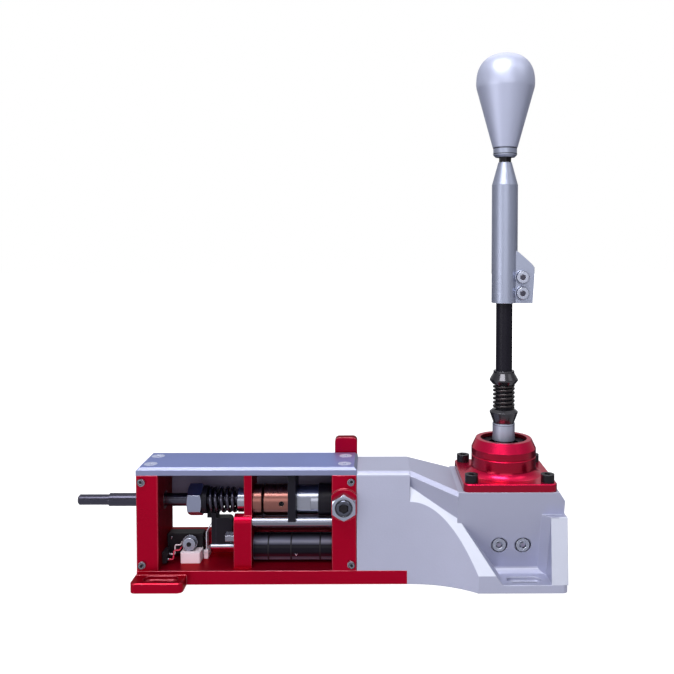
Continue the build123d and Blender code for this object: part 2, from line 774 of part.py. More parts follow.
with BuildPart() as bronze_barrel:
    rod(axis_plane(barrel_x, 0, shaft_height, "x"), ring_radius, barrel_length)
    chamfer(bronze_barrel.faces().sort_by(Axis.X)[0].edges(), length=edge_break)
    shaft_bore(barrel_x, fork_x)
    grub_x = barrel_x + barrel_length * grub_place_share
    grub_face = axis_plane(grub_x, -ring_radius - overrun, shaft_height, "y")
    rod(grub_face, grub_radius + running_gap, ring_radius, mode=Mode.SUBTRACT)
save(bronze_barrel, "bronze_barrel")

with BuildPart() as barrel_grub:
    grub_seat = axis_plane(grub_x, -shaft_hole - running_gap, shaft_height, "-y")
    rod(grub_seat, grub_radius, grub_length)
    hexagon(grub_seat.offset(grub_length), grub_radius, -grub_length / 2, mode=Mode.SUBTRACT)
save(barrel_grub, "barrel_grub")

# Fork plate: it straddles the guide rod, so the shaft can't turn
with BuildPart() as fork_plate:
    fork_top = block_top - fork_top_gap
    block(fork_x, sleeve_x, -fork_front, fork_back, fork_bottom, fork_top)
    guide_gap = guide_radius + running_gap
    rod(axis_plane(fork_x, -guide_front, guide_height, "x"), guide_gap, fork_thickness, mode=Mode.SUBTRACT)
    shaft_bore(fork_x, sleeve_x)
save(fork_plate, "fork_plate")

# Steel sleeve that runs in the black cup on the right block
with BuildPart() as steel_sleeve:
    rod(axis_plane(sleeve_x, 0, shaft_height, "x"), sleeve_radius, sleeve_end - sleeve_x)
    sleeve_reach = window_end - cup_length
    flat_y = -sleeve_radius + sleeve_flat
    flat_z = shaft_height - sleeve_radius
    flat_end = sleeve_reach - sleeve_radius / 2
    block(sleeve_x, flat_end, -sleeve_radius, flat_y, flat_z, flat_z + 2 * sleeve_radius, mode=Mode.SUBTRACT)
    shaft_bore(sleeve_x, sleeve_end)
save(steel_sleeve, "steel_sleeve")

with BuildPart() as end_cup:
    rod(axis_plane(sleeve_reach, 0, shaft_height, "x"), cup_radius, cup_length)
    cup_bore = sleeve_radius + running_gap
    rod(axis_plane(sleeve_reach, 0, shaft_height, "x"), cup_bore, cup_length, mode=Mode.SUBTRACT)
save(end_cup, "end_cup")

# Damper: cylinder, gland, piston and rod
with BuildPart() as damper_cylinder:
    damper_span = window_end - bulkhead_end
    rod(axis_plane(bulkhead_end, 0, damper_height, "x"), damper_radius, damper_span)
    damper_bore = damper_radius - damper_wall
    rod(axis_plane(bulkhead_end, 0, damper_height, "x"), damper_bore, damper_span, mode=Mode.SUBTRACT)
save(damper_cylinder, "damper_cylinder")

with BuildPart() as damper_gland:
    rod(axis_plane(bulkhead_end, 0, damper_height, "x"), damper_bore - running_gap, damper_gland_length)
    gland_bore = damper_rod_radius + running_gap
    rod(axis_plane(bulkhead_end, 0, damper_height, "x"), gland_bore, damper_gland_length, mode=Mode.SUBTRACT)
save(damper_gland, "damper_gland")

with BuildPart() as damper_rod:
    piston_x = bulkhead_end + damper_span * piston_share
    rod_start = arm_x - seat_gap * 2
    rod(axis_plane(rod_start, 0, damper_height, "x"), damper_rod_radius, piston_x + piston_length - rod_start)
    chamfer(damper_rod.faces().sort_by(Axis.X)[0].edges(), length=seat_gap)
save(damper_rod, "damper_rod")

with BuildPart() as damper_piston:
    rod(axis_plane(piston_x, 0, damper_height, "x"), damper_bore - running_gap, piston_length)
    rod(axis_plane(piston_x, 0, damper_height, "x"), gland_bore, piston_length, mode=Mode.SUBTRACT)
save(damper_piston, "damper_piston")

# Friction adjuster: hollow screw, lock nut, spring sleeve and pad
with BuildPart() as adjuster_screw:
    adjuster_inner = axis_plane(adjuster_x, -half_width - boss_height + adjuster_seat, adjuster_height, "-y")
    rod(adjuster_inner, adjuster_radius, adjuster_length)
    hexagon(adjuster_inner.offset(adjuster_length), adjuster_socket_flats, -adjuster_length / 2, mode=Mode.SUBTRACT)
    chamfer(adjuster_screw.faces().sort_by(Axis.Y)[0].edges().filter_by(GeomType.CIRCLE), length=edge_break)
save(adjuster_screw, "adjuster_screw")

with BuildPart() as adjuster_nut:
    nut_face = axis_plane(adjuster_x, -half_width - boss_height, adjuster_height, "-y")
    hexagon(nut_face, adjuster_nut_flats, adjuster_nut_length)
    lock_corner = adjuster_nut_flats * hexagon_corner_share
    lock_bevel = lock_corner - adjuster_nut_flats / 2
    lock_side = [(0, 0), (lock_corner, 0), (lock_corner, adjuster_nut_length - lock_bevel / 2)]
    lock_side += [(lock_corner - lock_bevel, adjuster_nut_length), (0, adjuster_nut_length)]
    turned(nut_face, lock_side, mode=Mode.INTERSECT)
    rod(nut_face, adjuster_radius + running_gap, adjuster_nut_length, mode=Mode.SUBTRACT)
save(adjuster_nut, "adjuster_nut")

with BuildPart() as friction_pad:
    pad_nose = axis_plane(adjuster_x, -shaft_radius - seat_gap, adjuster_height, "-y")
    rod(pad_nose, pad_radius, 2 * pad_length - seat_gap * 2)
save(friction_pad, "friction_pad")

# Position switch on the left block, with its bracket and cap screw
with BuildPart() as switch_body:
    switch_x = window_x + switch_wall_gap
    switch_low = base_thickness + switch_base
    switch_high = switch_low + switch_height
    block(switch_x, switch_end, switch_base, switch_base + switch_thickness, switch_low, switch_high)
    chamfer(switch_body.edges().filter_by(Axis.Y), length=edge_break)
    switch_screw_x = window_x + switch_screw_from_wall
    switch_middle_y = switch_base + switch_thickness / 2
    switch_hole = axis_plane(switch_screw_x, 0, switch_screw_height, "y")
    rod(switch_hole, switch_screw_radius + running_gap, switch_base + switch_thickness, mode=Mode.SUBTRACT)
    button_hole = axis_plane(switch_end, switch_middle_y, button_height, "-x")
    button_bore = button_radius + running_gap
    rod(button_hole, button_bore, button_length + overrun, mode=Mode.SUBTRACT)
save(switch_body, "switch_body")

with BuildPart() as switch_button:
    button_x = switch_end + button_from_face - button_length
    rod(axis_plane(button_x, switch_middle_y, button_height, "x"), button_radius, button_length)
    fillet(switch_button.faces().sort_by(Axis.X)[-1].edges(), radius=button_radius / 3)
save(switch_button, "switch_button")

with BuildPart() as switch_bracket:
    bracket_x = window_x + bracket_from_wall
    bracket_end = bracket_x + bracket_length
    bracket_top = base_thickness + bracket_height
    ear_half = switch_screw_head_radius * bracket_ear_share
    block(bracket_x, bracket_end, -bracket_front, switch_base, base_thickness, bracket_top)
    block(switch_screw_x - ear_half, switch_screw_x + ear_half, 0, switch_base, bracket_top, switch_screw_height + ear_half)
    fillet(switch_bracket.edges().filter_by(Axis.Z).group_by(Axis.Y)[0], radius=2 * edge_break)
    rod(switch_hole, switch_screw_radius + running_gap, switch_base, mode=Mode.SUBTRACT)
save(switch_bracket, "switch_bracket")

with BuildPart() as switch_screw:
    head_plane = axis_plane(switch_screw_x, 0, switch_screw_height, "-y")
    screw_size = (switch_screw_radius, switch_screw_head_radius, switch_screw_head, m4_cap[3])
    screw(head_plane, screw_size, switch_base + switch_thickness)
save(switch_screw, "switch_screw")

# Leaf that rocks on a pin: the arm pushes its tip, and it pushes the switch's button
with BuildPart() as leaf_post:
    post_x = leaf_x + leaf_thickness / 2
    cheek_front = leaf_front - running_gap
    cheek_back = leaf_front + leaf_width + running_gap
    post_top = leaf_pin_height + leaf_curl_radius
    for cheek_y in (cheek_front - post_thickness / 2, cheek_back):
        post_ends = (post_x - leaf_curl_radius, post_x + leaf_curl_radius)
        block(*post_ends, cheek_y, cheek_y + post_thickness / 2, base_thickness, post_top)
    foot_top = leaf_pin_height - leaf_curl_radius - seat_gap
    block(*post_ends, cheek_front, cheek_back, base_thickness, foot_top)
    pin_line = axis_plane(post_x, cheek_front - post_thickness / 2, leaf_pin_height, "y")
    pin_length = leaf_width + 2 * running_gap + post_thickness
    rod(pin_line, leaf_pin_radius + running_gap, pin_length, mode=Mode.SUBTRACT)
save(leaf_post, "leaf_post")

with BuildPart() as leaf_pin:
    rod(pin_line, leaf_pin_radius, pin_length)
save(leaf_pin, "leaf_pin")

with BuildPart() as switch_leaf:
    curl_line = axis_plane(post_x, leaf_front, leaf_pin_height, "y")
    rod(curl_line, leaf_curl_radius, leaf_width)
    leaf_tip_x = arm_x - seat_gap - leaf_thickness
    leaf_front_points = [(leaf_x, leaf_pin_height), (leaf_x, leaf_bend_height), (leaf_tip_x, leaf_tip_height)]
    leaf_back_points = [(x + leaf_thickness, z) for x, z in reversed(leaf_front_points)]
    leaf_plane = Plane(origin=(0, leaf_front, 0), x_dir=(1, 0, 0), z_dir=(0, -1, 0))
    prism(leaf_plane, leaf_front_points + leaf_back_points, -leaf_width)
    rod(curl_line, leaf_pin_radius + running_gap, leaf_width, mode=Mode.SUBTRACT)
save(switch_leaf, "switch_leaf")

# Socket on the left block, and the two wires that run from it to the switch
with BuildPart() as wire_socket:
    socket_low = red_wire_height - socket_height
    socket_end = window_x + socket_length
    block(window_x, socket_end, -socket_front, -seat_gap, socket_low, socket_low + socket_height)
    chamfer(wire_socket.faces().sort_by(Axis.X)[-1].edges(), length=edge_break)
save(wire_socket, "wire_socket")


def wire(name, front, height, socket_y, socket_z):
    """One wire: out of the socket, up, across and back to the switch's side."""
    start_x = window_x + wire_start_from_wall
    turn_x = (socket_end + start_x) / 2
    route = [
        (socket_end, socket_y, socket_z),
        (turn_x, socket_y, socket_z),
        (turn_x, -front, height),
        (start_x, -front, height),
        (start_x, switch_base, height),
    ]
    with BuildLine(mode=Mode.PRIVATE) as path:
        FilletPolyline(*route, radius=wire_corner * wire_bend_share)
    with BuildSketch(Plane(origin=route[0], z_dir=(1, 0, 0)), mode=Mode.PRIVATE) as section:
        Circle(wire_radius)
    sweep(section.sketch, path=path.line)
    length = sum(edge.length for edge in path.edges())
    print(name, "length", round(length, 2), "bend radius", round(wire_corner * wire_bend_share, 2), "wire radius", wire_radius)
    return length * math.pi * wire_radius**2


socket_wire_z = socket_low + socket_height / 2
with BuildPart() as white_wire:
    white_volume = wire("white_wire", white_wire_front, white_wire_height, -socket_front * white_wire_share, socket_wire_z)
print("white_wire volume", round(white_wire.part.volume, 3), "expected", round(white_volume, 3))
save(white_wire, "white_wire")

with BuildPart() as red_wire:
    red_volume = wire("red_wire", red_wire_front, red_wire_height, -socket_front * red_wire_share, socket_low + socket_height / 4)
print("red_wire volume", round(red_wire.part.volume, 3), "expected", round(red_volume, 3))
save(red_wire, "red_wire")


# Front housing, cast in one piece: neck, slope, tower, skirt, foot and end web
tunnel_low = shaft_height - tunnel_below_shaft
tunnel_high = shaft_height + tunnel_above_shaft
tower_foot_half = platform_half_width - tower_lean_share * (platform_height - housing_foot_thickness)
with BuildPart() as housing_neck:
    block(housing_x, neck_end, -half_width, half_width, base_thickness, neck_top)
    neck_edges = housing_neck.edges().filter_by(Axis.X).group_by(Axis.Z)[-1]
    fillet(neck_edges, radius=neck_fillet)

with BuildPart() as housing_slope:
    for x, low_half, high_half, high in (
        (neck_end, half_width * slope_foot_shares[0], half_width, neck_top),
        (slope_end, platform_half_width * slope_foot_shares[1], platform_half_width, platform_height),
    ):
        with BuildSketch(axis_plane(x, 0, 0, "x")):
            with BuildLine():
                low = tunnel_low - housing_wall
                corners = [(-low_half, low), (low_half, low)]
                corners += [(high_half, high - neck_fillet), (high_half - neck_fillet, high)]
                corners += [(neck_fillet - high_half, high), (-high_half, high - neck_fillet)]
                Polyline(*corners, close=True)
            make_face()
    loft(ruled=True)

with BuildPart() as housing_tower:
    tower_corners = [(-tower_foot_half, 0), (tower_foot_half, 0), (tower_foot_half, housing_foot_thickness)]
    tower_corners += [(platform_half_width, platform_height), (-platform_half_width, platform_height)]
    tower_corners += [(-tower_foot_half, housing_foot_thickness)]
    prism(axis_plane(slope_end, 0, 0, "x"), tower_corners, housing_end - slope_end)
    end_edges = housing_tower.faces().sort_by(Axis.X)[-1].edges().filter_by(Axis.Y).sort_by(Axis.Z)[-1]
    chamfer(end_edges, length=housing_end_drop, length2=housing_end_run)


def flare_plan():
    """The plan of the skirt: as wide as the neck at first, then curving out to the feet."""
    flare_x = slope_end + platform_length * flare_start_share
    middle_x = (neck_end + flare_x) / 2
    middle_y = half_width + (housing_foot_half_width - half_width) * flare_bend_share
    with BuildSketch(Plane.XY, mode=Mode.PRIVATE) as plan:
        with BuildLine():
            Line((housing_x, 0), (housing_x, half_width))
            Line((housing_x, half_width), (neck_end, half_width))
            ThreePointArc((neck_end, half_width), (middle_x, middle_y), (flare_x, housing_foot_half_width))
            Line((flare_x, housing_foot_half_width), (foot_end, housing_foot_half_width))
            Line((foot_end, housing_foot_half_width), (foot_end, 0))
            Line((foot_end, 0), (housing_x, 0))
        make_face()
        mirror(about=Plane.XZ)
    return plan.sketch


recess_low_x = side_screw_xs[0]
with BuildPart() as housing_skirt:
    extrude(flare_plan(), amount=platform_height)
    skirt_top = platform_height + recess_over_platform
    skirt_corners = [(base_end, 0), (base_end, skirt_top), (neck_end, skirt_top)]
    skirt_corners += [(slope_end, platform_height - recess_drop)]
    skirt_corners += [(recess_low_x, housing_foot_thickness), (recess_low_x, 0)]
    prism(Plane.XZ, skirt_corners, foot_end, both=True, mode=Mode.INTERSECT)
    lean_high = half_width - (neck_top - skirt_height) * skirt_lean_share
    lean_corners = [(-foot_end, 0), (foot_end, 0), (half_width + skirt_height * skirt_lean_share, 0)]
    lean_corners += [(lean_high, neck_top), (-lean_high, neck_top), (-half_width - skirt_height * skirt_lean_share, 0)]
    prism(axis_plane(0, 0, 0, "x"), lean_corners[2:], foot_end, mode=Mode.INTERSECT)

with BuildPart() as housing_foot:
    extrude(flare_plan(), amount=housing_foot_thickness)
    block(base_end, foot_end, -foot_end, foot_end, 0, housing_foot_thickness, mode=Mode.INTERSECT)
    foot_end_edges = housing_foot.edges().filter_by(Axis.Z).group_by(Axis.X)[-1]
    fillet(foot_end_edges, radius=foot_corner)

with BuildPart() as housing_web:
    web_x = foot_end - web_length
    web_high_half = platform_half_width
    web_corners = [(-housing_foot_half_width, housing_foot_thickness), (housing_foot_half_width, housing_foot_thickness)]
    web_corners += [(web_high_half, web_height), (-web_high_half, web_height)]
    prism(axis_plane(web_x, 0, 0, "x"), web_corners, web_length)
    fillet(housing_web.faces().sort_by(Axis.X)[-1].edges().filter_by(Axis.Y).sort_by(Axis.Z)[-1], radius=edge_break)

# Wedge between the tower's wall and the web, and the rounding where the wall meets the foot
with BuildPart() as housing_wedge:
    web_wall_half = tower_foot_half + tower_lean_share * (web_height - housing_foot_thickness)
    for z, wall_half in ((housing_foot_thickness, tower_foot_half), (web_height, web_wall_half)):
        with BuildSketch(Plane.XY.offset(z)):
            with BuildLine():
                wedge = [(web_x - web_wedge, 0), (web_x - web_wedge, wall_half), (web_x, wall_half + web_wedge)]
                Polyline(*wedge, (web_x + web_wedge, wall_half + web_wedge), (web_x + web_wedge, 0), close=True)
            make_face()
            mirror(about=Plane.XZ)
    loft(ruled=True)

with BuildPart() as housing_fillets:
    with BuildSketch(axis_plane(slope_end, 0, 0, "x")):
        with BuildLine():
            cove = tower_foot_half + pocket_fillet
            cove_high = housing_foot_thickness + pocket_fillet
            cove_wall = tower_foot_half + tower_lean_share * pocket_fillet
            cove_step = pocket_fillet / math.sqrt(2) / 2
            Line((0, housing_foot_thickness), (cove, housing_foot_thickness))
            arc_middle = (cove_wall + cove_step / 2, housing_foot_thickness + cove_step)
            ThreePointArc((cove, housing_foot_thickness), arc_middle, (cove_wall, cove_high))
            Line((cove_wall, cove_high), (0, cove_high))
            Line((0, cove_high), (0, housing_foot_thickness))
        make_face()
        mirror(about=Plane.YZ)
    extrude(amount=platform_length)

with BuildPart() as front_housing:
    housing_chunks = (housing_neck, housing_slope, housing_tower, housing_skirt, housing_foot, housing_web)
    for chunk in (*housing_chunks, housing_wedge, housing_fillets):
        add(chunk.part)
    wall = housing_wall
    inner_top = platform_half_width - wall
    inner_foot = tower_foot_half - wall
    cavity_high = platform_height - wall - edge_break
    cavity_corners = [(-inner_foot, -overrun), (inner_foot, -overrun), (inner_foot, housing_foot_thickness)]
    cavity_corners += [(inner_top, cavity_high), (-inner_top, cavity_high), (-inner_foot, housing_foot_thickness)]
    cavity_x = slope_end + wall
    prism(axis_plane(cavity_x, 0, 0, "x"), cavity_corners, platform_end - wall - cavity_x, mode=Mode.SUBTRACT)
    tunnel_depth = (-tunnel_half_width, tunnel_half_width)
    block(neck_end - wall, cavity_x + overrun, *tunnel_depth, tunnel_low, tunnel_high, mode=Mode.SUBTRACT)
    neck_room = half_width - wall
    block(housing_x + wall, neck_end - wall, -neck_room, neck_room, base_thickness + wall, neck_top - wall, mode=Mode.SUBTRACT)
    tunnel_line = axis_plane(housing_x, 0, shaft_height, "x")
    rod(tunnel_line, bush_radius + seat_gap, wall + overrun, mode=Mode.SUBTRACT)
    rod(axis_plane(lever_x, 0, platform_height, "z"), stem_hole_radius, -2 * wall, mode=Mode.SUBTRACT)
    slot_cuts(slot_spacing_x / 2, housing_foot_thickness)
    boss_room = side_screw_spacing / 2
    for side in (-1, 1):
        boss_sides = sorted((side * (side_screw_seat - wall), side * (side_screw_seat + wall / 3)))
        boss_ends = (side_screw_xs[0] - boss_room, side_screw_xs[1] + boss_room)
        block(*boss_ends, *boss_sides, side_screw_height - boss_room, side_screw_height + boss_room)
    for hole_x in side_screw_xs:
        for side in (-1, 1):
            seat_plane = axis_plane(hole_x, side * side_screw_seat, side_screw_height, "y" if side > 0 else "-y")
            rod(seat_plane, side_recess_radius, foot_end, mode=Mode.SUBTRACT)
            rod(seat_plane, m6_cap[0] + running_gap, -wall, mode=Mode.SUBTRACT)
    for screw_x in (lever_x - flange_bolt_spacing_x / 2, lever_x + flange_bolt_spacing_x / 2):
        for side in (-1, 1):
            bolt = axis_plane(screw_x, side * flange_bolt_spacing_y / 2, platform_height, "z")
            bolt_depth = flange_screw_length - flange_thickness + seat_gap
            rod(bolt, m6_cap[0] + running_gap, -bolt_depth, mode=Mode.SUBTRACT)
    for side in (-1, 1):
        neck_screw = axis_plane(base_screw_xs[2], side * base_screw_y, base_thickness, "z")
        rod(neck_screw, m5_flat[0] + running_gap, wall, mode=Mode.SUBTRACT)
save(front_housing, "front_housing")
print("front_housing solids", len(front_housing.part.solids()))

with BuildPart() as housing_screws:
    for hole_x in side_screw_xs:
        for side in (-1, 1):
            seat_plane = axis_plane(hole_x, side * side_screw_seat, side_screw_height, "y" if side > 0 else "-y")
            screw(seat_plane, m6_cap, housing_wall)
save(housing_screws, "housing_screws")

# Pivot flange: square plate, conical foot and round hub around the ball
with BuildPart() as pivot_flange:
    flange_top = platform_height + flange_thickness
    flange_line = axis_plane(lever_x, 0, platform_height, "z")
    half_flange = flange_size / 2
    block(lever_x - half_flange, lever_x + half_flange, -half_flange, half_flange, platform_height, flange_top)
    fillet(pivot_flange.edges().filter_by(Axis.Z), radius=flange_corner)
    chamfer(pivot_flange.faces().sort_by(Axis.Z)[-1].edges(), length=edge_break)
    hub_section = Plane(origin=flange_line.origin, x_dir=(1, 0, 0), z_dir=(0, -1, 0))
    with BuildSketch(hub_section, mode=Mode.PRIVATE) as hub_profile:
        with BuildLine():
            neck_low = flange_thickness + hub_cone_height
            groove_low = (neck_low + hub_height) / 2
            flare_middle = ((hub_root_radius + hub_radius) / 2 - hub_flare_sag, (flange_thickness + neck_low) / 2 - hub_flare_sag)
            Polyline((0, 0), (hub_root_radius, 0), (hub_root_radius, flange_thickness))
            ThreePointArc((hub_root_radius, flange_thickness), flare_middle, (hub_radius, neck_low))
            hub_side = [(hub_radius, neck_low), (hub_radius, groove_low)]
            hub_side += [(hub_radius - hub_groove, groove_low + hub_groove), (hub_radius, groove_low + 2 * hub_groove)]
            hub_side += [(hub_radius, hub_height), (hub_top_radius, hub_top_height), (0, hub_top_height), (0, 0)]
            Polyline(*hub_side)
        make_face()
    revolve(hub_profile.sketch, axis=Axis(flange_line.origin, flange_line.z_dir))
    bore_points = [(0, -overrun), (hub_bore_radius, -overrun), (hub_bore_radius, hub_lip_height)]
    bore_points += [(hub_mouth_radius, hub_lip_height + edge_break), (hub_mouth_radius, hub_top_height + overrun)]
    turned(flange_line, bore_points + [(0, hub_top_height + overrun)], mode=Mode.SUBTRACT)
    flange_xs = (lever_x - flange_bolt_spacing_x / 2, lever_x + flange_bolt_spacing_x / 2)
    for screw_x in flange_xs:
        for side in (-1, 1):
            bolt = axis_plane(screw_x, side * flange_bolt_spacing_y / 2, flange_top + overrun, "z")
            rod(bolt, m6_cap[0] + running_gap, -flange_thickness - 2 * overrun, mode=Mode.SUBTRACT)
            bolt_face = axis_plane(screw_x, side * flange_bolt_spacing_y / 2, flange_top, "z")
            rod(bolt_face, m6_cap[1] + 2 * seat_gap, m6_cap[2] + overrun, mode=Mode.SUBTRACT)
save(pivot_flange, "pivot_flange")

with BuildPart() as flange_screws:
    for screw_x in flange_xs:
        for side in (-1, 1):
            screw(axis_plane(screw_x, side * flange_bolt_spacing_y / 2, flange_top, "z"), m6_cap, flange_screw_length)
save(flange_screws, "flange_screws")

# Lower ball seat in the flange, and the ribbed ring that holds the ball down
pivot_line = axis_plane(lever_x, 0, pivot_height, "z")
ball_room = pivot_ball_radius + running_gap
with BuildPart() as ball_seat:
    rod(pivot_line.offset(-seat_ring_depth - housing_wall), hub_bore_radius, seat_ring_depth + housing_wall)
    with Locations((lever_x, 0, pivot_height)):
        Sphere(ball_room, mode=Mode.SUBTRACT)
    ball_hole = stem_hole_radius * ball_hole_share
    rod(pivot_line, ball_hole, -seat_ring_depth - housing_wall - overrun, mode=Mode.SUBTRACT)
save(ball_seat, "ball_seat")

with BuildPart() as bearing_ring:
    ring_top = platform_height + hub_lip_height - pivot_height
    rod(pivot_line, hub_bore_radius, ring_top)
    with Locations((lever_x, 0, pivot_height)):
        Sphere(ball_room, mode=Mode.SUBTRACT)
    rod(pivot_line, ball_hole + overrun, ring_top + overrun, mode=Mode.SUBTRACT)
    rib_line = pivot_line.offset(ring_top - bearing_rib_depth)
    with BuildSketch(rib_line):
        with PolarLocations(hub_mouth_radius, bearing_rib_count):
            Rectangle(3 * bearing_rib_width, bearing_rib_width)
    extrude(amount=bearing_rib_depth + overrun, mode=Mode.SUBTRACT)
save(bearing_ring, "bearing_ring")

# Lever: pivot ball, lower ball and rod in one piece
with BuildPart() as lever_rod:
    with Locations((lever_x, 0, pivot_height)):
        Sphere(pivot_ball_radius)
    with Locations((lever_x, 0, shaft_height)):
        Sphere(lower_ball_radius)
    rod(axis_plane(lever_x, 0, shaft_height, "z"), stem_radius, pivot_height - shaft_height)
    rod(pivot_line, lever_radius, lever_top - pivot_height)
    chamfer(lever_rod.faces().sort_by(Axis.Z)[-1].edges(), length=edge_break)
save(lever_rod, "lever_rod")


def lever_sleeve(outline_points, low):
    """A turned piece that slides over the lever rod."""
    turned(axis_plane(lever_x, 0, low, "z"), outline_points)


bore = lever_radius + running_gap
sleeve_low = pivot_height + pivot_ball_radius
with BuildPart() as stem_sleeve:
    sleeve_room = stem_sleeve_top - sleeve_low
    lever_sleeve([(bore, 0), (stem_sleeve_radius, 0), (stem_sleeve_radius, sleeve_room), (bore, sleeve_room)], sleeve_low)
save(stem_sleeve, "stem_sleeve")

with BuildPart() as lift_collar:
    lift_points = [(bore, 0), (collar_body_radius, 0), (collar_body_radius, edge_break)]
    lift_points += [(collar_lip_radius, collar_lip_height), (collar_lip_radius, collar_lip_height + edge_break)]
    lift_points += [(collar_body_radius + edge_break, collar_height), (bore, collar_height)]
    lever_sleeve(lift_points, stem_sleeve_top)
save(lift_collar, "lift_collar")

with BuildPart() as lockout_spring:
    spring_plane = axis_plane(lever_x, 0, spring_low + running_gap, "z")
    lockout_room = spring_high - spring_low - 2 * running_gap
    spring(spring_plane, lockout_radius, lockout_wire, lockout_turns, lockout_room)
save(lockout_spring, "lockout_spring")

with BuildPart() as upper_collar:
    upper_points = [(bore, 0), (collar_body_radius + edge_break, 0), (collar_lip_radius, collar_height * collar_lip_shares[0])]
    upper_points += [(collar_lip_radius, collar_height * collar_lip_shares[1]), (collar_body_radius, collar_height * collar_lip_shares[2])]
    upper_points += [(collar_body_radius, upper_collar_height), (bore, upper_collar_height)]
    lever_sleeve(upper_points, spring_high)
save(upper_collar, "upper_collar")

# Clamp tube: slit and squeezed onto the rod by two screws through its lug
with BuildPart() as clamp_tube:
    clamp_line = axis_plane(lever_x, 0, clamp_low, "z")
    rod(clamp_line, clamp_radius, clamp_taper_from - clamp_low)
    taper_points = [(0, 0), (clamp_radius, 0), (clamp_top_radius, clamp_top - clamp_taper_from)]
    turned(axis_plane(lever_x, 0, clamp_taper_from, "z"), taper_points + [(0, clamp_top - clamp_taper_from)])
    lug_end = lever_x + clamp_lug_reach
    clamp_lug_points = [(lever_x, clamp_low), (lever_x, clamp_low + clamp_lug_rise)]
    clamp_lug_points += [(lever_x + clamp_lug_reach * x, clamp_low + clamp_lug_rise * z) for x, z in clamp_lug_shares]
    side_plane = Plane(origin=(0, 0, 0), x_dir=(1, 0, 0), z_dir=(0, -1, 0))
    prism(side_plane, clamp_lug_points, clamp_lug_half_thickness, both=True)
    rod(clamp_line, bore, lever_top + overrun - clamp_low, mode=Mode.SUBTRACT)
    slit_end = lug_end + overrun
    slit_top = clamp_low + clamp_lug_rise + overrun
    block(lever_x, slit_end, -clamp_slit / 2, clamp_slit / 2, clamp_low - overrun, slit_top, mode=Mode.SUBTRACT)
    rod(axis_plane(lever_x, 0, clamp_top, "z"), stud_radius + running_gap, -stud_below - overrun, mode=Mode.SUBTRACT)
    clamp_seat = clamp_lug_half_thickness - m5_cap[2] * clamp_head_share
    clamp_screw_x = lever_x + clamp_screw_offset
    clamp_screw_zs = (clamp_low + clamp_screw_low, clamp_low + clamp_screw_low + clamp_screw_spacing)
    for screw_z in clamp_screw_zs:
        head_seat = axis_plane(clamp_screw_x, -clamp_seat, screw_z, "-y")
        rod(head_seat, m5_cap[1] + running_gap, m5_cap[2] + overrun, mode=Mode.SUBTRACT)
        rod(head_seat, m5_cap[0] + running_gap, -clamp_screw_length - overrun, mode=Mode.SUBTRACT)
save(clamp_tube, "clamp_tube")

with BuildPart() as clamp_screws:
    for screw_z in clamp_screw_zs:
        screw(axis_plane(clamp_screw_x, -clamp_seat, screw_z, "-y"), m5_cap, clamp_screw_length)
save(clamp_screws, "clamp_screws")

# Stud, nut, ring and knob
with BuildPart() as knob_stud:
    rod(axis_plane(lever_x, 0, clamp_top - stud_below, "z"), stud_radius, stud_length)
save(knob_stud, "knob_stud")

with BuildPart() as knob_nut:
    hexagon(axis_plane(lever_x, 0, clamp_top, "z"), knob_nut_flats, knob_nut_length)
    rod(axis_plane(lever_x, 0, clamp_top, "z"), stud_radius + running_gap, knob_nut_length, mode=Mode.SUBTRACT)
save(knob_nut, "knob_nut")

knob_ring_low = clamp_top + knob_nut_length
with BuildPart() as knob_ring:
    stud_hole = stud_radius + running_gap
    chamfered = knob_ring_radius - knob_ring_chamfer
    knob_ring_points = [(stud_hole, 0), (chamfered, 0), (knob_ring_radius, knob_ring_chamfer)]
    knob_ring_points += [(knob_ring_radius, knob_ring_length), (stud_hole, knob_ring_length)]
    lever_sleeve(knob_ring_points, knob_ring_low)
save(knob_ring, "knob_ring")

knob_low = knob_ring_low + knob_ring_length
with BuildPart() as knob:
    knob_plane = axis_plane(lever_x, 0, knob_low, "z")
    section = Plane(origin=knob_plane.origin, x_dir=(1, 0, 0), z_dir=(0, -1, 0))
    crown = [(knob_radius * r, knob_height * z) for r, z in knob_profile_shares]
    cone_way = (crown[0][0] - knob_foot_radius, crown[0][1])
    with BuildSketch(section, mode=Mode.PRIVATE) as profile:
        with BuildLine():
            Polyline((0, 0), (knob_foot_radius, 0), crown[0])
            Spline(*crown, (0, knob_height), tangents=(unit(cone_way), (-1, 0)))
            Line((0, knob_height), (0, 0))
        make_face()
    revolve(profile.sketch, axis=Axis(knob_plane.origin, knob_plane.z_dir))
    rod(knob_plane, stud_radius + running_gap, stud_length - stud_below - knob_nut_length, mode=Mode.SUBTRACT)
save(knob, "knob")

# Yoke on the shaft's end, slotted for the lower ball
with BuildPart() as shaft_yoke:
    yoke_low = shaft_height - yoke_height / 2
    yoke_end = yoke_x + yoke_length
    block(yoke_x, yoke_end, -yoke_width / 2, yoke_width / 2, yoke_low, yoke_low + yoke_height)
    chamfer(shaft_yoke.edges().filter_by(Axis.X), length=yoke_wall_under / 2)
    slot_half = lower_ball_radius + running_gap
    slot_base = yoke_low + yoke_wall_under / 2
    yoke_slot = (lever_x - slot_half, lever_x + slot_half, -slot_half, slot_half)
    block(*yoke_slot, slot_base, yoke_low + yoke_height + overrun, mode=Mode.SUBTRACT)
    rod(axis_plane(yoke_x, 0, shaft_height, "x"), shaft_hole, yoke_wall_under, mode=Mode.SUBTRACT)
save(shaft_yoke, "shaft_yoke")

# Clear distance between each spring's own turns
print("centring_spring gap", round(spring_gap(centring_radius, centring_wire, centring_turns, centring_length), 3))
print("lockout_spring gap", round(spring_gap(lockout_radius, lockout_wire, lockout_turns, lockout_room), 3))
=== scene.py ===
import logging
import math
from collections.abc import Sequence
from dataclasses import dataclass
from enum import Enum
from functools import cached_property
from itertools import product
from typing import ClassVar

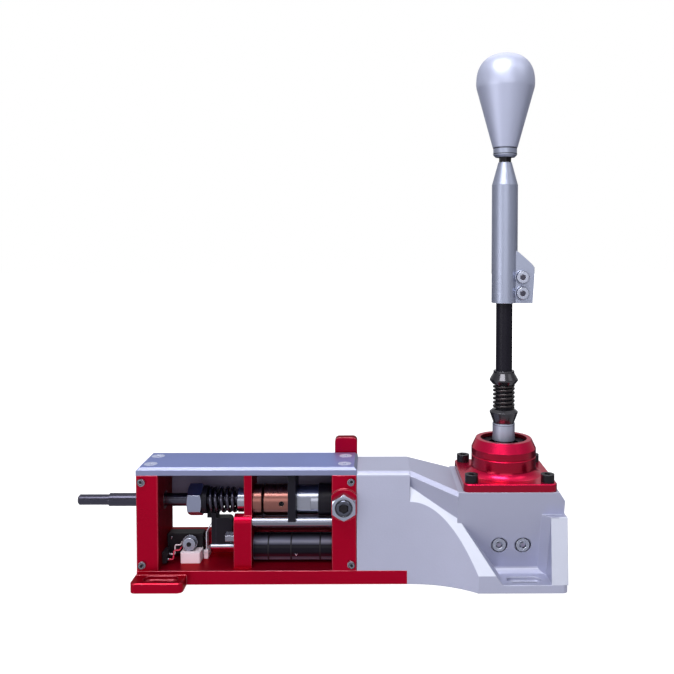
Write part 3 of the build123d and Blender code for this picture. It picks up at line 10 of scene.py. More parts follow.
import bpy
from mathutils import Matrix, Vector


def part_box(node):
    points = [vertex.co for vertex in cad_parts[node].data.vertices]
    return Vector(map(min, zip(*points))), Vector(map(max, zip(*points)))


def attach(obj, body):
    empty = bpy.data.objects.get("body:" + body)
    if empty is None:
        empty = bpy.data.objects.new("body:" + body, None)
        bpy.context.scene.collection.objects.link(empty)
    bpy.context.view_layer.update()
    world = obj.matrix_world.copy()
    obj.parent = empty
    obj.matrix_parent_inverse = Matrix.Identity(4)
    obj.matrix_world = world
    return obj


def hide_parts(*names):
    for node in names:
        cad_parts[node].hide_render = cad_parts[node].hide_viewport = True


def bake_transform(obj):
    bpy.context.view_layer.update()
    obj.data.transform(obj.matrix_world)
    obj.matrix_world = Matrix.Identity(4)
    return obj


logging.basicConfig(level=logging.INFO, format="%(levelname)s %(message)s")
log = logging.getLogger("shifter")

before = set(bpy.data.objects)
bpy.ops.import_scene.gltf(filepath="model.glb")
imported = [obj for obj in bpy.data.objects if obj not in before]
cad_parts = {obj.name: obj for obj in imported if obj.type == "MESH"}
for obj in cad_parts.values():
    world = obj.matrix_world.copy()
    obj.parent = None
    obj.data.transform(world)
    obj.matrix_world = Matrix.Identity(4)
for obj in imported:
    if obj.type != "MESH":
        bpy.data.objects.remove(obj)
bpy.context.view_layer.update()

Colour = tuple[float, float, float]
Point = tuple[float, float, float]
Profile = Sequence[tuple[float, float]]
Node = bpy.types.Node
Socket = bpy.types.NodeSocket

MM_PER_METRE = 1000
X, Y, Z = range(3)


class Grain(Enum):
    """What the surface of a finish looks like close up."""

    CAST = "cast"
    MILLED_X = "milled_x"
    MILLED_Z = "milled_z"
    TURNED_X = "turned_x"
    TURNED_Z = "turned_z"
    MOULDED = "moulded"
    OXIDE = "oxide"


class Graph:
    """A node tree with short calls for adding and joining its nodes."""

    def __init__(self, tree: bpy.types.NodeTree) -> None:
        """Takes over an empty node tree, a material's or a group's."""
        self.tree = tree

    def node(self, kind: str, **settings: object) -> Node:
        """Adds a node.

        Args:
            kind: Blender's name for the node's type.
            settings: attributes to set, or inputs where the name is one of its sockets.

        Returns:
            The new node.
        """
        made = self.tree.nodes.new(kind)
        for name, value in settings.items():
            if hasattr(made, name):
                setattr(made, name, value)
            else:
                made.inputs[name.replace("_", " ").title()].default_value = value
        return made

    def join(self, source: Socket, target: Socket) -> None:
        """Links an output to an input."""
        self.tree.links.new(source, target)

    def feed(self, value: object, target: Socket) -> None:
        """Links a socket to an input, or sets the input to a plain value.

        Args:
            value: a socket, a number or a colour.
            target: an input.
        """
        if isinstance(value, Socket):
            self.join(value, target)
        else:
            target.default_value = value

    def math(
        self, operation: str, first: object, second: object = 0.0, clamp: bool = False
    ) -> Socket:
        """Adds a math node.

        Args:
            operation: the operation's name.
            first: a socket or a number.
            second: a socket or a number.
            clamp: whether the result stays between 0 and 1.

        Returns:
            The node's output.
        """
        made = self.node("ShaderNodeMath", operation=operation, use_clamp=clamp)
        for value, socket in zip((first, second), made.inputs):
            self.feed(value, socket)
        return made.outputs["Value"]

    def ramp(self, value: Socket, start: float, steepness: float = 1.0) -> Socket:
        """Returns a mask that rises from 0 to 1 where a value passes its start."""
        return self.math("MULTIPLY", self.math("SUBTRACT", value, start), steepness, clamp=True)

    def line(self, value: Socket, gain: float, offset: float) -> Socket:
        """Returns the value times a gain, plus an offset."""
        return self.math("ADD", self.math("MULTIPLY", value, gain), offset)

    def parts(self, vector: Socket) -> bpy.types.NodeOutputs:
        """Splits a vector.

        Args:
            vector: the vector.

        Returns:
            The outputs X, Y and Z.
        """
        made = self.node("ShaderNodeSeparateXYZ")
        self.join(vector, made.inputs["Vector"])
        return made.outputs

    def group(self, tree: bpy.types.NodeTree, **values: float) -> Node:
        """Adds a shared group.

        Args:
            tree: the group.
            values: its inputs, by their names in lower case.

        Returns:
            The group's node.
        """
        made = self.node("ShaderNodeGroup", node_tree=tree)
        for name, value in values.items():
            made.inputs[name.title()].default_value = value
        return made

    def shade(self, kind: str, colour: Colour | None = None, strength: object = None) -> Socket:
        """Adds a plain shader.

        Args:
            kind: Blender's name for the shader.
            colour: its colour, where it isn't the shader's own white or grey.
            strength: a number or a socket, where the shader has a strength to set.

        Returns:
            The shader's output.
        """
        made = self.node(kind)
        if colour is not None:
            made.inputs["Color"].default_value = (*colour, 1.0)
        if strength is not None:
            self.feed(strength, made.inputs["Strength"])
        return made.outputs[0]

    def blend(self, share: Socket, first: Socket, second: Socket) -> Socket:
        """Adds a mix of two shaders.

        Args:
            share: how much of the second one shows.
            first: a shader.
            second: a shader.

        Returns:
            The mixed shader.
        """
        made = self.node("ShaderNodeMixShader")
        for source, socket in zip((share, first, second), made.inputs):
            self.join(source, socket)
        return made.outputs["Shader"]

    def tint(self, share: Socket, first: object, second: object) -> Socket:
        """Adds a mix of two colours.

        Args:
            share: how much of the second one shows.
            first: a colour or a socket.
            second: a colour or a socket.

        Returns:
            The mixed colour.
        """
        made = self.node("ShaderNodeMix", data_type="RGBA")
        shown = [socket for socket in made.inputs if socket.enabled]
        for value, socket in zip((share, first, second), shown):
            self.feed(value, socket)
        return next(socket for socket in made.outputs if socket.enabled)


@dataclass(frozen=True)
class Peak:
    """A mask that is highest where a value is at its centre."""

    centre: float
    steepness: float
    height: float = 1.0

    def mask(self, graph: Graph, value: Socket) -> Socket:
        """Adds the mask's nodes.

        Args:
            graph: where they go.
            value: what the mask follows.

        Returns:
            The mask, between 0 and 1.
        """
        miss = graph.math("ABSOLUTE", graph.math("SUBTRACT", value, self.centre))
        fall = graph.math("MULTIPLY", miss, self.steepness)
        return graph.math("SUBTRACT", self.height, fall, clamp=True)


# Rays of each rounded edge, in the materials and in the mask of worn edges, which partly carry
# painted highlight and painted shade
BEVEL_SAMPLES = 6


class EffectLibrary:
    """The node groups that the finishes share. They give masks, heights and values only."""

    # Grain: the pits' size beside the fine grain, their depth, and the size of the broad patches
    PIT_SCALE = 0.7
    PIT_DEPTH = 0.5
    BROAD_SCALE = 25.0
    # Worn edges, partly painted highlight and painted shade: how soon a bend counts, and how much
    # stays where the noise is darkest
    EDGE_GAIN = 6.0
    EDGE_KEPT = 0.35
    # Faces picked by how they lie, for painted highlight and painted shade: by how far their
    # normals rise, and how far they face the front or the back
    SLANTING = Peak(0.7, 3.4)
    UPRIGHT_BELOW = 0.3
    # Front faces that lean slightly, for a painted highlight
    PAINTED_HIGHLIGHT_BAND = Peak(0.32, 9.0, 1.2)
    PAINTED_HIGHLIGHT_END = Peak(0.08, 25.0)
    FACING_FRONT = 0.8
    # Dust: the rise from which it lies, and how much of the noise is free of it
    DUST_ABOVE = 0.6
    DUST_NOISE = 0.45

    def __init__(self) -> None:
        """Makes an empty library."""
        self.looks: dict["Finish", bpy.types.Material] = {}

    @staticmethod
    def _start(name: str, inputs: dict[str, float], outputs: tuple[str, ...]) -> tuple:
        """Makes a group with its sockets.

        Args:
            name: the group's name.
            inputs: each input's name and default.
            outputs: the outputs' names.

        Returns:
            The group's graph, what it is given, and the sockets for what it puts out.
        """
        graph = Graph(bpy.data.node_groups.new(name, "ShaderNodeTree"))
        sockets = graph.tree.interface
        for key, value in inputs.items():
            made = sockets.new_socket(key, in_out="INPUT", socket_type="NodeSocketFloat")
            made.default_value = value
        for key in outputs:
            sockets.new_socket(key, in_out="OUTPUT", socket_type="NodeSocketFloat")
        return graph, graph.node("NodeGroupInput").outputs, graph.node("NodeGroupOutput").inputs

    @cached_property
    def speckle(self) -> bpy.types.NodeTree:
        """The group for a cast or moulded skin: fine grain, and broad patches."""
        defaults = {"Scale": 900.0, "Patch Scale": 30.0}
        graph, given, out = self._start("speckle", defaults, ("Height", "Patch"))
        place = graph.node("ShaderNodeTexCoord").outputs["Object"]
        fine = graph.node("ShaderNodeTexNoise", detail=3.0, roughness=0.6)
        pits = graph.node("ShaderNodeTexVoronoi")
        broad = graph.node("ShaderNodeTexNoise", detail=5.0, roughness=0.55)
        for texture in (fine, pits, broad):
            graph.join(place, texture.inputs["Vector"])
        graph.join(given["Scale"], fine.inputs["Scale"])
        graph.join(graph.math("MULTIPLY", given["Scale"], self.PIT_SCALE), pits.inputs["Scale"])
        graph.join(given["Patch Scale"], broad.inputs["Scale"])
        pit = graph.math("MULTIPLY", pits.outputs["Distance"], self.PIT_DEPTH)
        graph.join(graph.math("ADD", fine.outputs["Fac"], pit), out["Height"])
        graph.join(broad.outputs["Fac"], out["Patch"])
        return graph.tree

    @cached_property
    def strokes(self) -> bpy.types.NodeTree:
        """The group for tool marks: noise stretched along one direction."""
        defaults = {"Along X": 1.0, "Along Y": 1.0, "Along Z": 1.0, "Scale": 40.0}
        graph, given, out = self._start("strokes", defaults, ("Height", "Patch"))
        place = graph.node("ShaderNodeTexCoord").outputs["Object"]
        stretch = graph.node("ShaderNodeCombineXYZ")
        for axis in "XYZ":
            graph.join(given["Along " + axis], stretch.inputs[axis])
        stretched = graph.node("ShaderNodeVectorMath", operation="MULTIPLY")
        graph.join(place, stretched.inputs[0])
        graph.join(stretch.outputs["Vector"], stretched.inputs[1])
        marks = graph.node("ShaderNodeTexNoise", detail=4.0, roughness=0.65)
        graph.join(stretched.outputs["Vector"], marks.inputs["Vector"])
        graph.join(given["Scale"], marks.inputs["Scale"])
        broad = graph.node("ShaderNodeTexNoise", detail=4.0, scale=self.BROAD_SCALE)
        graph.join(place, broad.inputs["Vector"])
        graph.join(marks.outputs["Fac"], out["Height"])
        graph.join(broad.outputs["Fac"], out["Patch"])
        return graph.tree

    @cached_property
    def edges(self) -> bpy.types.NodeTree:
        """The group for worn edges, which on the red parts also carry painted highlight and painted
        shade: a mask where the surface turns sharply.
        """
        defaults = {"Radius": 0.0006, "Breakup": 120.0}
        graph, given, out = self._start("edges", defaults, ("Mask",))
        rounded = graph.node("ShaderNodeBevel", samples=BEVEL_SAMPLES)
        graph.join(given["Radius"], rounded.inputs["Radius"])
        plain = graph.node("ShaderNodeNewGeometry")
        turn = graph.node("ShaderNodeVectorMath", operation="DOT_PRODUCT")
        graph.join(rounded.outputs["Normal"], turn.inputs[0])
        graph.join(plain.outputs["Normal"], turn.inputs[1])
        noise = graph.node("ShaderNodeTexNoise", detail=2.0)
        graph.join(given["Breakup"], noise.inputs["Scale"])
        bend = graph.math("SUBTRACT", 1.0, turn.outputs["Value"])
        sharp = graph.math("MULTIPLY", bend, self.EDGE_GAIN, clamp=True)
        broken = graph.math("ADD", noise.outputs["Fac"], self.EDGE_KEPT, clamp=True)
        graph.join(graph.math("MULTIPLY", sharp, broken), out["Mask"])
        return graph.tree

    @cached_property
    def facets(self) -> bpy.types.NodeTree:
        """The group for faces picked by how they lie, slanting, upright and slightly leaning front
        ones, which take painted highlight and painted shade.
        """
        defaults = {"Upright": 0.8, "Slant": 1.0, "Lean": 0.0}
        graph, given, out = self._start("facets", defaults, ("Mask", "Slope"))
        normal = graph.parts(graph.node("ShaderNodeNewGeometry").outputs["Normal"])
        rise = graph.math("ABSOLUTE", normal["Z"])
        slope = self.SLANTING.mask(graph, rise)
        graph.join(slope, out["Slope"])
        slant = graph.math("MULTIPLY", slope, given["Slant"])
        level = graph.math("LESS_THAN", rise, self.UPRIGHT_BELOW)
        upright = graph.math("MULTIPLY", level, given["Upright"])
        band = self.PAINTED_HIGHLIGHT_BAND.mask(graph, normal["Z"])
        end = self.PAINTED_HIGHLIGHT_END.mask(graph, normal["Z"])
        side = graph.math("ABSOLUTE", normal["Y"])
        facing = graph.math("GREATER_THAN", side, self.FACING_FRONT)
        # Slightly leaning front faces, which take a painted highlight
        leaning_highlight = graph.math("MULTIPLY", graph.math("MAXIMUM", band, end), facing)
        lean = graph.math("MULTIPLY", leaning_highlight, given["Lean"])
        chosen_faces = graph.math("MAXIMUM", slant, upright)
        graph.join(graph.math("MAXIMUM", chosen_faces, lean), out["Mask"])
        return graph.tree

    @cached_property
    def settle(self) -> bpy.types.NodeTree:
        """The group for fine dust: a mask on faces that look up."""
        graph, given, out = self._start("settle", {"Scale": 160.0}, ("Mask",))
        normal = graph.parts(graph.node("ShaderNodeNewGeometry").outputs["Normal"])
        noise = graph.node("ShaderNodeTexNoise", detail=6.0)
        graph.join(given["Scale"], noise.inputs["Scale"])
        level = graph.ramp(normal["Z"], self.DUST_ABOVE)
        specks = graph.ramp(noise.outputs["Fac"], self.DUST_NOISE)
        graph.join(graph.math("MULTIPLY", level, specks), out["Mask"])
        return graph.tree


# How much finer the tool marks are along X, Y and Z
COAT_ROUGHNESS = 0.12
GRAIN_HEIGHT = 0.0003
GRAIN_MIDDLE = 0.5
PATCH_SWING = 1.6
EDGE_WEAR_AND_PAINTED_LIGHT_SHARE = 0.8
DUST_COLOUR: Colour = (0.55, 0.54, 0.52)

STRETCHES: dict[Grain, tuple[float, float, float]] = {
    Grain.MILLED_X: (1.0, 40.0, 40.0),
    Grain.MILLED_Z: (40.0, 40.0, 1.0),
    Grain.TURNED_X: (60.0, 1.0, 1.0),
    Grain.TURNED_Z: (1.0, 1.0, 60.0),
}


@dataclass(frozen=True)
class Finish:
    """One surface treatment, as the record's material slots name them.

    Attributes:
        name: the slot's name.
        colour: the base colour.
        roughness: the middle of the roughness.
        metallic: how metallic the surface is.
        grain: its close-up pattern.
        coat: the weight of its clear coat.
        relief: the strength of the grain's bumps.
        wear_and_painted_light: the colour of worn edges, which on the red parts also carry painted
            highlight and painted shade, and of the faces picked by how they lie, where it has them.
        variation: how far its colour and roughness swing.
        edge_radius: how far its edges look rounded, in metres.
        dust: how much dust lies on faces that look up.
        specular: the level of its reflection.
        facet: how much of that colour the faces picked by how they lie show; on the cast housing
            and the damper it is a painted highlight, on the flange a painted shade.
        upright: the upright faces' share of that.
        slant: the slanting faces' share of that.
        lean: the slightly leaning front faces' share of that.
        calm: what the slanting faces add to the roughness.
        rim: the tint of its reflection.
    """

    name: str
    colour: Colour
    roughness: float
    metallic: float
    grain: Grain
    coat: float = 0.0
    relief: float = 0.05
    wear_and_painted_light: Colour | None = None
    variation: float = 0.12
    edge_radius: float = 0.0005
    dust: float = 0.3
    specular: float = 0.5
    facet: float = 0.0
    upright: float = 0.8
    slant: float = 1.0
    lean: float = 0.0
    calm: float = 0.0
    rim: Colour = (1.0, 1.0, 1.0)

    def material(self, effects: EffectLibrary) -> bpy.types.Material:
        """Builds the finish's material.

        Args:
            effects: the shared node groups.

        Returns:
            The material, ready for an object.
        """
        made = bpy.data.materials.new(self.name)
        made.use_nodes = True
        made.node_tree.nodes.clear()
        graph = Graph(made.node_tree)
        out = graph.node("ShaderNodeOutputMaterial")
        shader = graph.node("ShaderNodeBsdfPrincipled")
        shader.inputs["Metallic"].default_value = self.metallic
        shader.inputs["Coat Weight"].default_value = self.coat
        shader.inputs["Coat Roughness"].default_value = COAT_ROUGHNESS
        shader.inputs["Specular IOR Level"].default_value = self.specular
        shader.inputs["Specular Tint"].default_value = (*self.rim, 1.0)
        graph.join(shader.outputs["BSDF"], out.inputs["Surface"])
        grain = self._grain(graph, effects)
        graph.join(self._colour(graph, effects, grain["Patch"]), shader.inputs["Base Color"])
        graph.join(self._roughness(graph, effects, grain), shader.inputs["Roughness"])
        bevel = graph.node("ShaderNodeBevel", samples=BEVEL_SAMPLES)
        bevel.inputs["Radius"].default_value = self.edge_radius
        bump = graph.node("ShaderNodeBump")
        bump.inputs["Strength"].default_value = self.relief
        bump.inputs["Distance"].default_value = GRAIN_HEIGHT
        graph.join(grain["Height"], bump.inputs["Height"])
        graph.join(bevel.outputs["Normal"], bump.inputs["Normal"])
        graph.join(bump.outputs["Normal"], shader.inputs["Normal"])
        return made

    def _grain(self, graph: Graph, effects: EffectLibrary) -> bpy.types.NodeOutputs:
        """Adds the close-up pattern.

        Args:
            graph: the material's graph.
            effects: the shared node groups.

        Returns:
            The pattern's outputs, Height and Patch.
        """
        if self.grain not in STRETCHES:
            return graph.group(effects.speckle).outputs
        made = graph.group(effects.strokes)
        for axis, value in zip("XYZ", STRETCHES[self.grain]):
            made.inputs["Along " + axis].default_value = value
        return made.outputs

    def _roughness(
        self, graph: Graph, effects: EffectLibrary, grain: bpy.types.NodeOutputs
    ) -> Socket:
        """Adds the roughness: its middle, a swing by patches and grain, and more where faces slant.

        Args:
            graph: the material's graph.
            effects: the shared node groups.
            grain: the pattern's outputs.

        Returns:
            The roughness.
        """
        patches = graph.math("SUBTRACT", grain["Patch"], GRAIN_MIDDLE)
        swing = graph.math("MULTIPLY", patches, self.variation * PATCH_SWING)
        heights = graph.math("SUBTRACT", grain["Height"], GRAIN_MIDDLE)
        marks = graph.math("MULTIPLY", heights, self.variation)
        rough = graph.math("ADD", graph.math("ADD", swing, marks), self.roughness, clamp=True)
        if self.calm > 0:
            slope = graph.group(effects.facets).outputs["Slope"]
            more = graph.math("MULTIPLY", slope, self.calm)
            rough = graph.math("ADD", rough, more, clamp=True)
        return rough

    def _colour(self, graph: Graph, effects: EffectLibrary, patch: Socket) -> Socket:
        """Adds the colour: patches of light and dark, worn edges, faces picked by how they lie, and
        dust; the edges and faces partly carry painted highlight and painted shade.

        Args:
            graph: the material's graph.
            effects: the shared node groups.
            patch: the pattern's broad mask.

        Returns:
            The colour.
        """
        dark = tuple(value * (1 - self.variation) for value in self.colour)
        pale = tuple(min(value * (1 + self.variation), 1.0) for value in self.colour)
        tint = graph.tint(patch, (*dark, 1.0), (*pale, 1.0))
        if self.wear_and_painted_light is not None:
            # Worn edges; on the red parts they also carry painted highlight and painted shade
            edges = graph.group(effects.edges).outputs["Mask"]
            edge_wear_and_painted_light = graph.math("MULTIPLY", edges, EDGE_WEAR_AND_PAINTED_LIGHT_SHARE)
            tint = graph.tint(edge_wear_and_painted_light, tint, (*self.wear_and_painted_light, 1.0))
            # Faces picked by how they lie take the second colour: painted highlight on the cast
            # housing and the damper, painted shade on the flange
            if self.facet > 0:
                shares = {"upright": self.upright, "slant": self.slant, "lean": self.lean}
                chosen_faces = graph.group(effects.facets, **shares).outputs["Mask"]
                facet_tone = graph.math("MULTIPLY", chosen_faces, self.facet)
                tint = graph.tint(facet_tone, tint, (*self.wear_and_painted_light, 1.0))
        dust = graph.math("MULTIPLY", graph.group(effects.settle).outputs["Mask"], self.dust)
        return graph.tint(dust, tint, (*DUST_COLOUR, 1.0))


# What all finishes share. The grain's height is in metres


# Its pale edges are partly wear and partly a painted edge highlight.
RED = Finish(
    "red_anodised", colour=(0.37, 0.001, 0.019), roughness=0.30, metallic=0.8,
    grain=Grain.MILLED_X, coat=0.05, relief=0.02, wear_and_painted_light=(0.88, 0.24, 0.31), variation=0.08,
    dust=0.02, specular=0.2, rim=(0.35, 0.03, 0.06),
)
# The flange's upright faces, such as the hub's waist and the plate's edge, and its edges are
# painted darker: painted shade.
RED_FLANGE = Finish(
    "red_block", colour=(0.62, 0.004, 0.055), roughness=0.26, metallic=0.8, grain=Grain.OXIDE,
    coat=0.15, relief=0.001, wear_and_painted_light=(0.20, 0.001, 0.012), variation=0.015, dust=0.01, specular=0.2,
    facet=0.8, upright=1.0, slant=0.0,
)
# Front faces that lean slightly, such as the web's front, are painted lighter: painted highlight.
CAST = Finish(
    "silver_cast", colour=(0.43, 0.44, 0.56), roughness=0.50, metallic=0.65, grain=Grain.CAST,
    relief=0.2, wear_and_painted_light=(0.62, 0.64, 0.74), variation=0.04, edge_radius=0.0008, dust=0.03,
    facet=1.0, upright=0.0, slant=0.0, lean=1.0, calm=0.22,
)
TOP = Finish(
    "blued_aluminium", colour=(0.215, 0.26, 0.53), roughness=0.46, metallic=0.8,
    grain=Grain.MILLED_X, relief=0.02, wear_and_painted_light=(0.22, 0.225, 0.295), variation=0.08,
    dust=0.03, facet=0.8,
)
STEEL = Finish(
    "bright_steel", colour=(0.29, 0.30, 0.36), roughness=0.25, metallic=1.0, grain=Grain.TURNED_X,
    relief=0.01, variation=0.06, dust=0.02,
)
ROD_STEEL = Finish(
    "bright_steel", colour=(0.19, 0.195, 0.24), roughness=0.20, metallic=1.0, grain=Grain.TURNED_X,
    relief=0.01, variation=0.05, dust=0.0,
)
LEAF = Finish(
    "bright_steel", colour=(0.58, 0.60, 0.68), roughness=0.38, metallic=0.55, grain=Grain.MILLED_Z,
    relief=0.01, variation=0.05, dust=0.0,
)
CHROME = Finish(
    "bright_steel", colour=(0.09, 0.095, 0.125), roughness=0.10, metallic=1.0,
    grain=Grain.TURNED_X, relief=0.01, variation=0.04, dust=0.0,
)
DARK_STEEL = Finish(
    "dark_steel", colour=(0.055, 0.053, 0.075), roughness=0.25, metallic=0.95,
    grain=Grain.TURNED_X, relief=0.02, wear_and_painted_light=(0.3, 0.29, 0.32), variation=0.05, dust=0.01,
)
TURNED = Finish(
    "silver_machined", colour=(0.31, 0.335, 0.435), roughness=0.42, metallic=0.75,
    grain=Grain.TURNED_Z, relief=0.02, wear_and_painted_light=(0.6, 0.62, 0.7), variation=0.05, dust=0.02,
)
SLEEVE = Finish(
    "silver_machined", colour=(0.36, 0.385, 0.48), roughness=0.40, metallic=0.70,
    grain=Grain.TURNED_Z, relief=0.01, variation=0.05, dust=0.0,
)
BRONZE = Finish(
    "bronze", colour=(0.25, 0.105, 0.09), roughness=0.28, metallic=1.0, grain=Grain.TURNED_X,
    relief=0.006, wear_and_painted_light=(0.5, 0.3, 0.24), variation=0.05, dust=0.0,
)
OXIDE = Finish(
    "black_oxide", colour=(0.008, 0.007, 0.010), roughness=0.34, metallic=0.4, grain=Grain.OXIDE,
    coat=0.05, relief=0.04, wear_and_painted_light=(0.12, 0.12, 0.14), dust=0.02, specular=0.25,
)
COLLAR = Finish(
    "black_oxide", colour=(0.030, 0.028, 0.034), roughness=0.17, metallic=0.7,
    grain=Grain.TURNED_Z, coat=0.35, relief=0.01, wear_and_painted_light=(0.16, 0.16, 0.18), dust=0.0,
)
ZINC = Finish(
    "zinc_screws", colour=(0.34, 0.36, 0.45), roughness=0.25, metallic=0.95, grain=Grain.OXIDE,
    relief=0.005, wear_and_painted_light=(0.8, 0.82, 0.9), variation=0.02, dust=0.02,
)
NUT = Finish(
    "zinc_screws", colour=(0.27, 0.29, 0.40), roughness=0.15, metallic=1.0, grain=Grain.OXIDE,
    relief=0.005, wear_and_painted_light=(0.75, 0.77, 0.88), variation=0.04, dust=0.0,
)
PLATE_SCREW = Finish(
    "zinc_screws", colour=(0.42, 0.45, 0.60), roughness=0.5, metallic=0.4, grain=Grain.OXIDE,
    relief=0.005, wear_and_painted_light=(0.8, 0.82, 0.95), variation=0.04, dust=0.0,
)
SCREW = Finish(
    "zinc_screws", colour=(0.23, 0.23, 0.28), roughness=0.26, metallic=0.95, grain=Grain.OXIDE,
    relief=0.005, wear_and_painted_light=(0.5, 0.5, 0.58), variation=0.04, dust=0.0,
)
BLACK = Finish(
    "black_painted", colour=(0.007, 0.006, 0.011), roughness=0.42, metallic=0.0,
    grain=Grain.MILLED_Z, relief=0.03, wear_and_painted_light=(0.05, 0.05, 0.07), dust=0.01, specular=0.15,
)
COVER = Finish(
    "black_painted", colour=(0.19, 0.17, 0.24), roughness=0.45, metallic=0.0, grain=Grain.MILLED_X,
    relief=0.03, dust=0.02, specular=0.3,
)
# The damper's slanting faces, high and low on its round, are painted lighter: painted highlight.
GLOSS = Finish(
    "black_gloss", colour=(0.006, 0.005, 0.009), roughness=0.2, metallic=0.0, grain=Grain.TURNED_X,
    relief=0.01, wear_and_painted_light=(0.15, 0.15, 0.21), dust=0.0, specular=0.08, facet=1.0,
    upright=0.0,
)
COIL = Finish(
    "black_spring", colour=(0.035, 0.030, 0.032), roughness=0.26, metallic=0.9, grain=Grain.OXIDE,
    coat=0.1, relief=0.03, wear_and_painted_light=(0.26, 0.22, 0.20), dust=0.0,
)
KNOB = Finish(
    "knob_satin", colour=(0.44, 0.465, 0.60), roughness=0.42, metallic=0.5, grain=Grain.CAST,
    coat=0.08, relief=0.02, variation=0.03, edge_radius=0.0002, dust=0.0,
)
PLASTIC = Finish(
    "black_plastic", colour=(0.008, 0.007, 0.010), roughness=0.5, metallic=0.0,
    grain=Grain.MOULDED, relief=0.10, dust=0.01, specular=0.2,
)
WHITE = Finish(
    "white_plastic", colour=(0.66, 0.56, 0.60), roughness=0.42, metallic=0.0, grain=Grain.MOULDED,
    relief=0.08,
)
WIRE_RED = Finish(
    "red_plastic", colour=(0.55, 0.02, 0.06), roughness=0.42, metallic=0.0, grain=Grain.MOULDED,
    relief=0.05,
)


class Axis(Enum):
    """A direction that a turned shape can have, with the two directions across it."""

    X = ((1, 0, 0), (0, 1, 0), (0, 0, 1))
    Y = ((0, 1, 0), (0, 0, 1), (1, 0, 0))
    Z = ((0, 0, 1), (1, 0, 0), (0, 1, 0))


class Box:
    """The box round a node, in millimetres."""

    def __init__(self, low: Point, high: Point) -> None:
        """Takes the box's lowest and highest corners, in metres."""
        self.low = tuple(value * MM_PER_METRE for value in low)
        self.high = tuple(value * MM_PER_METRE for value in high)

    def middle(self, axis: int) -> float:
        """Returns the middle along X, Y or Z."""
        return (self.low[axis] + self.high[axis]) / 2

    def reach(self, axis: int) -> float:
        """Returns half the width along X, Y or Z."""
        return (self.high[axis] - self.low[axis]) / 2


def tube(inner: float, outer: float, length: float) -> Profile:
    """Returns the profile of a plain tube: its inner and outer radius, and its length."""
    return [(inner, 0.0), (outer, 0.0), (outer, length), (inner, length)]


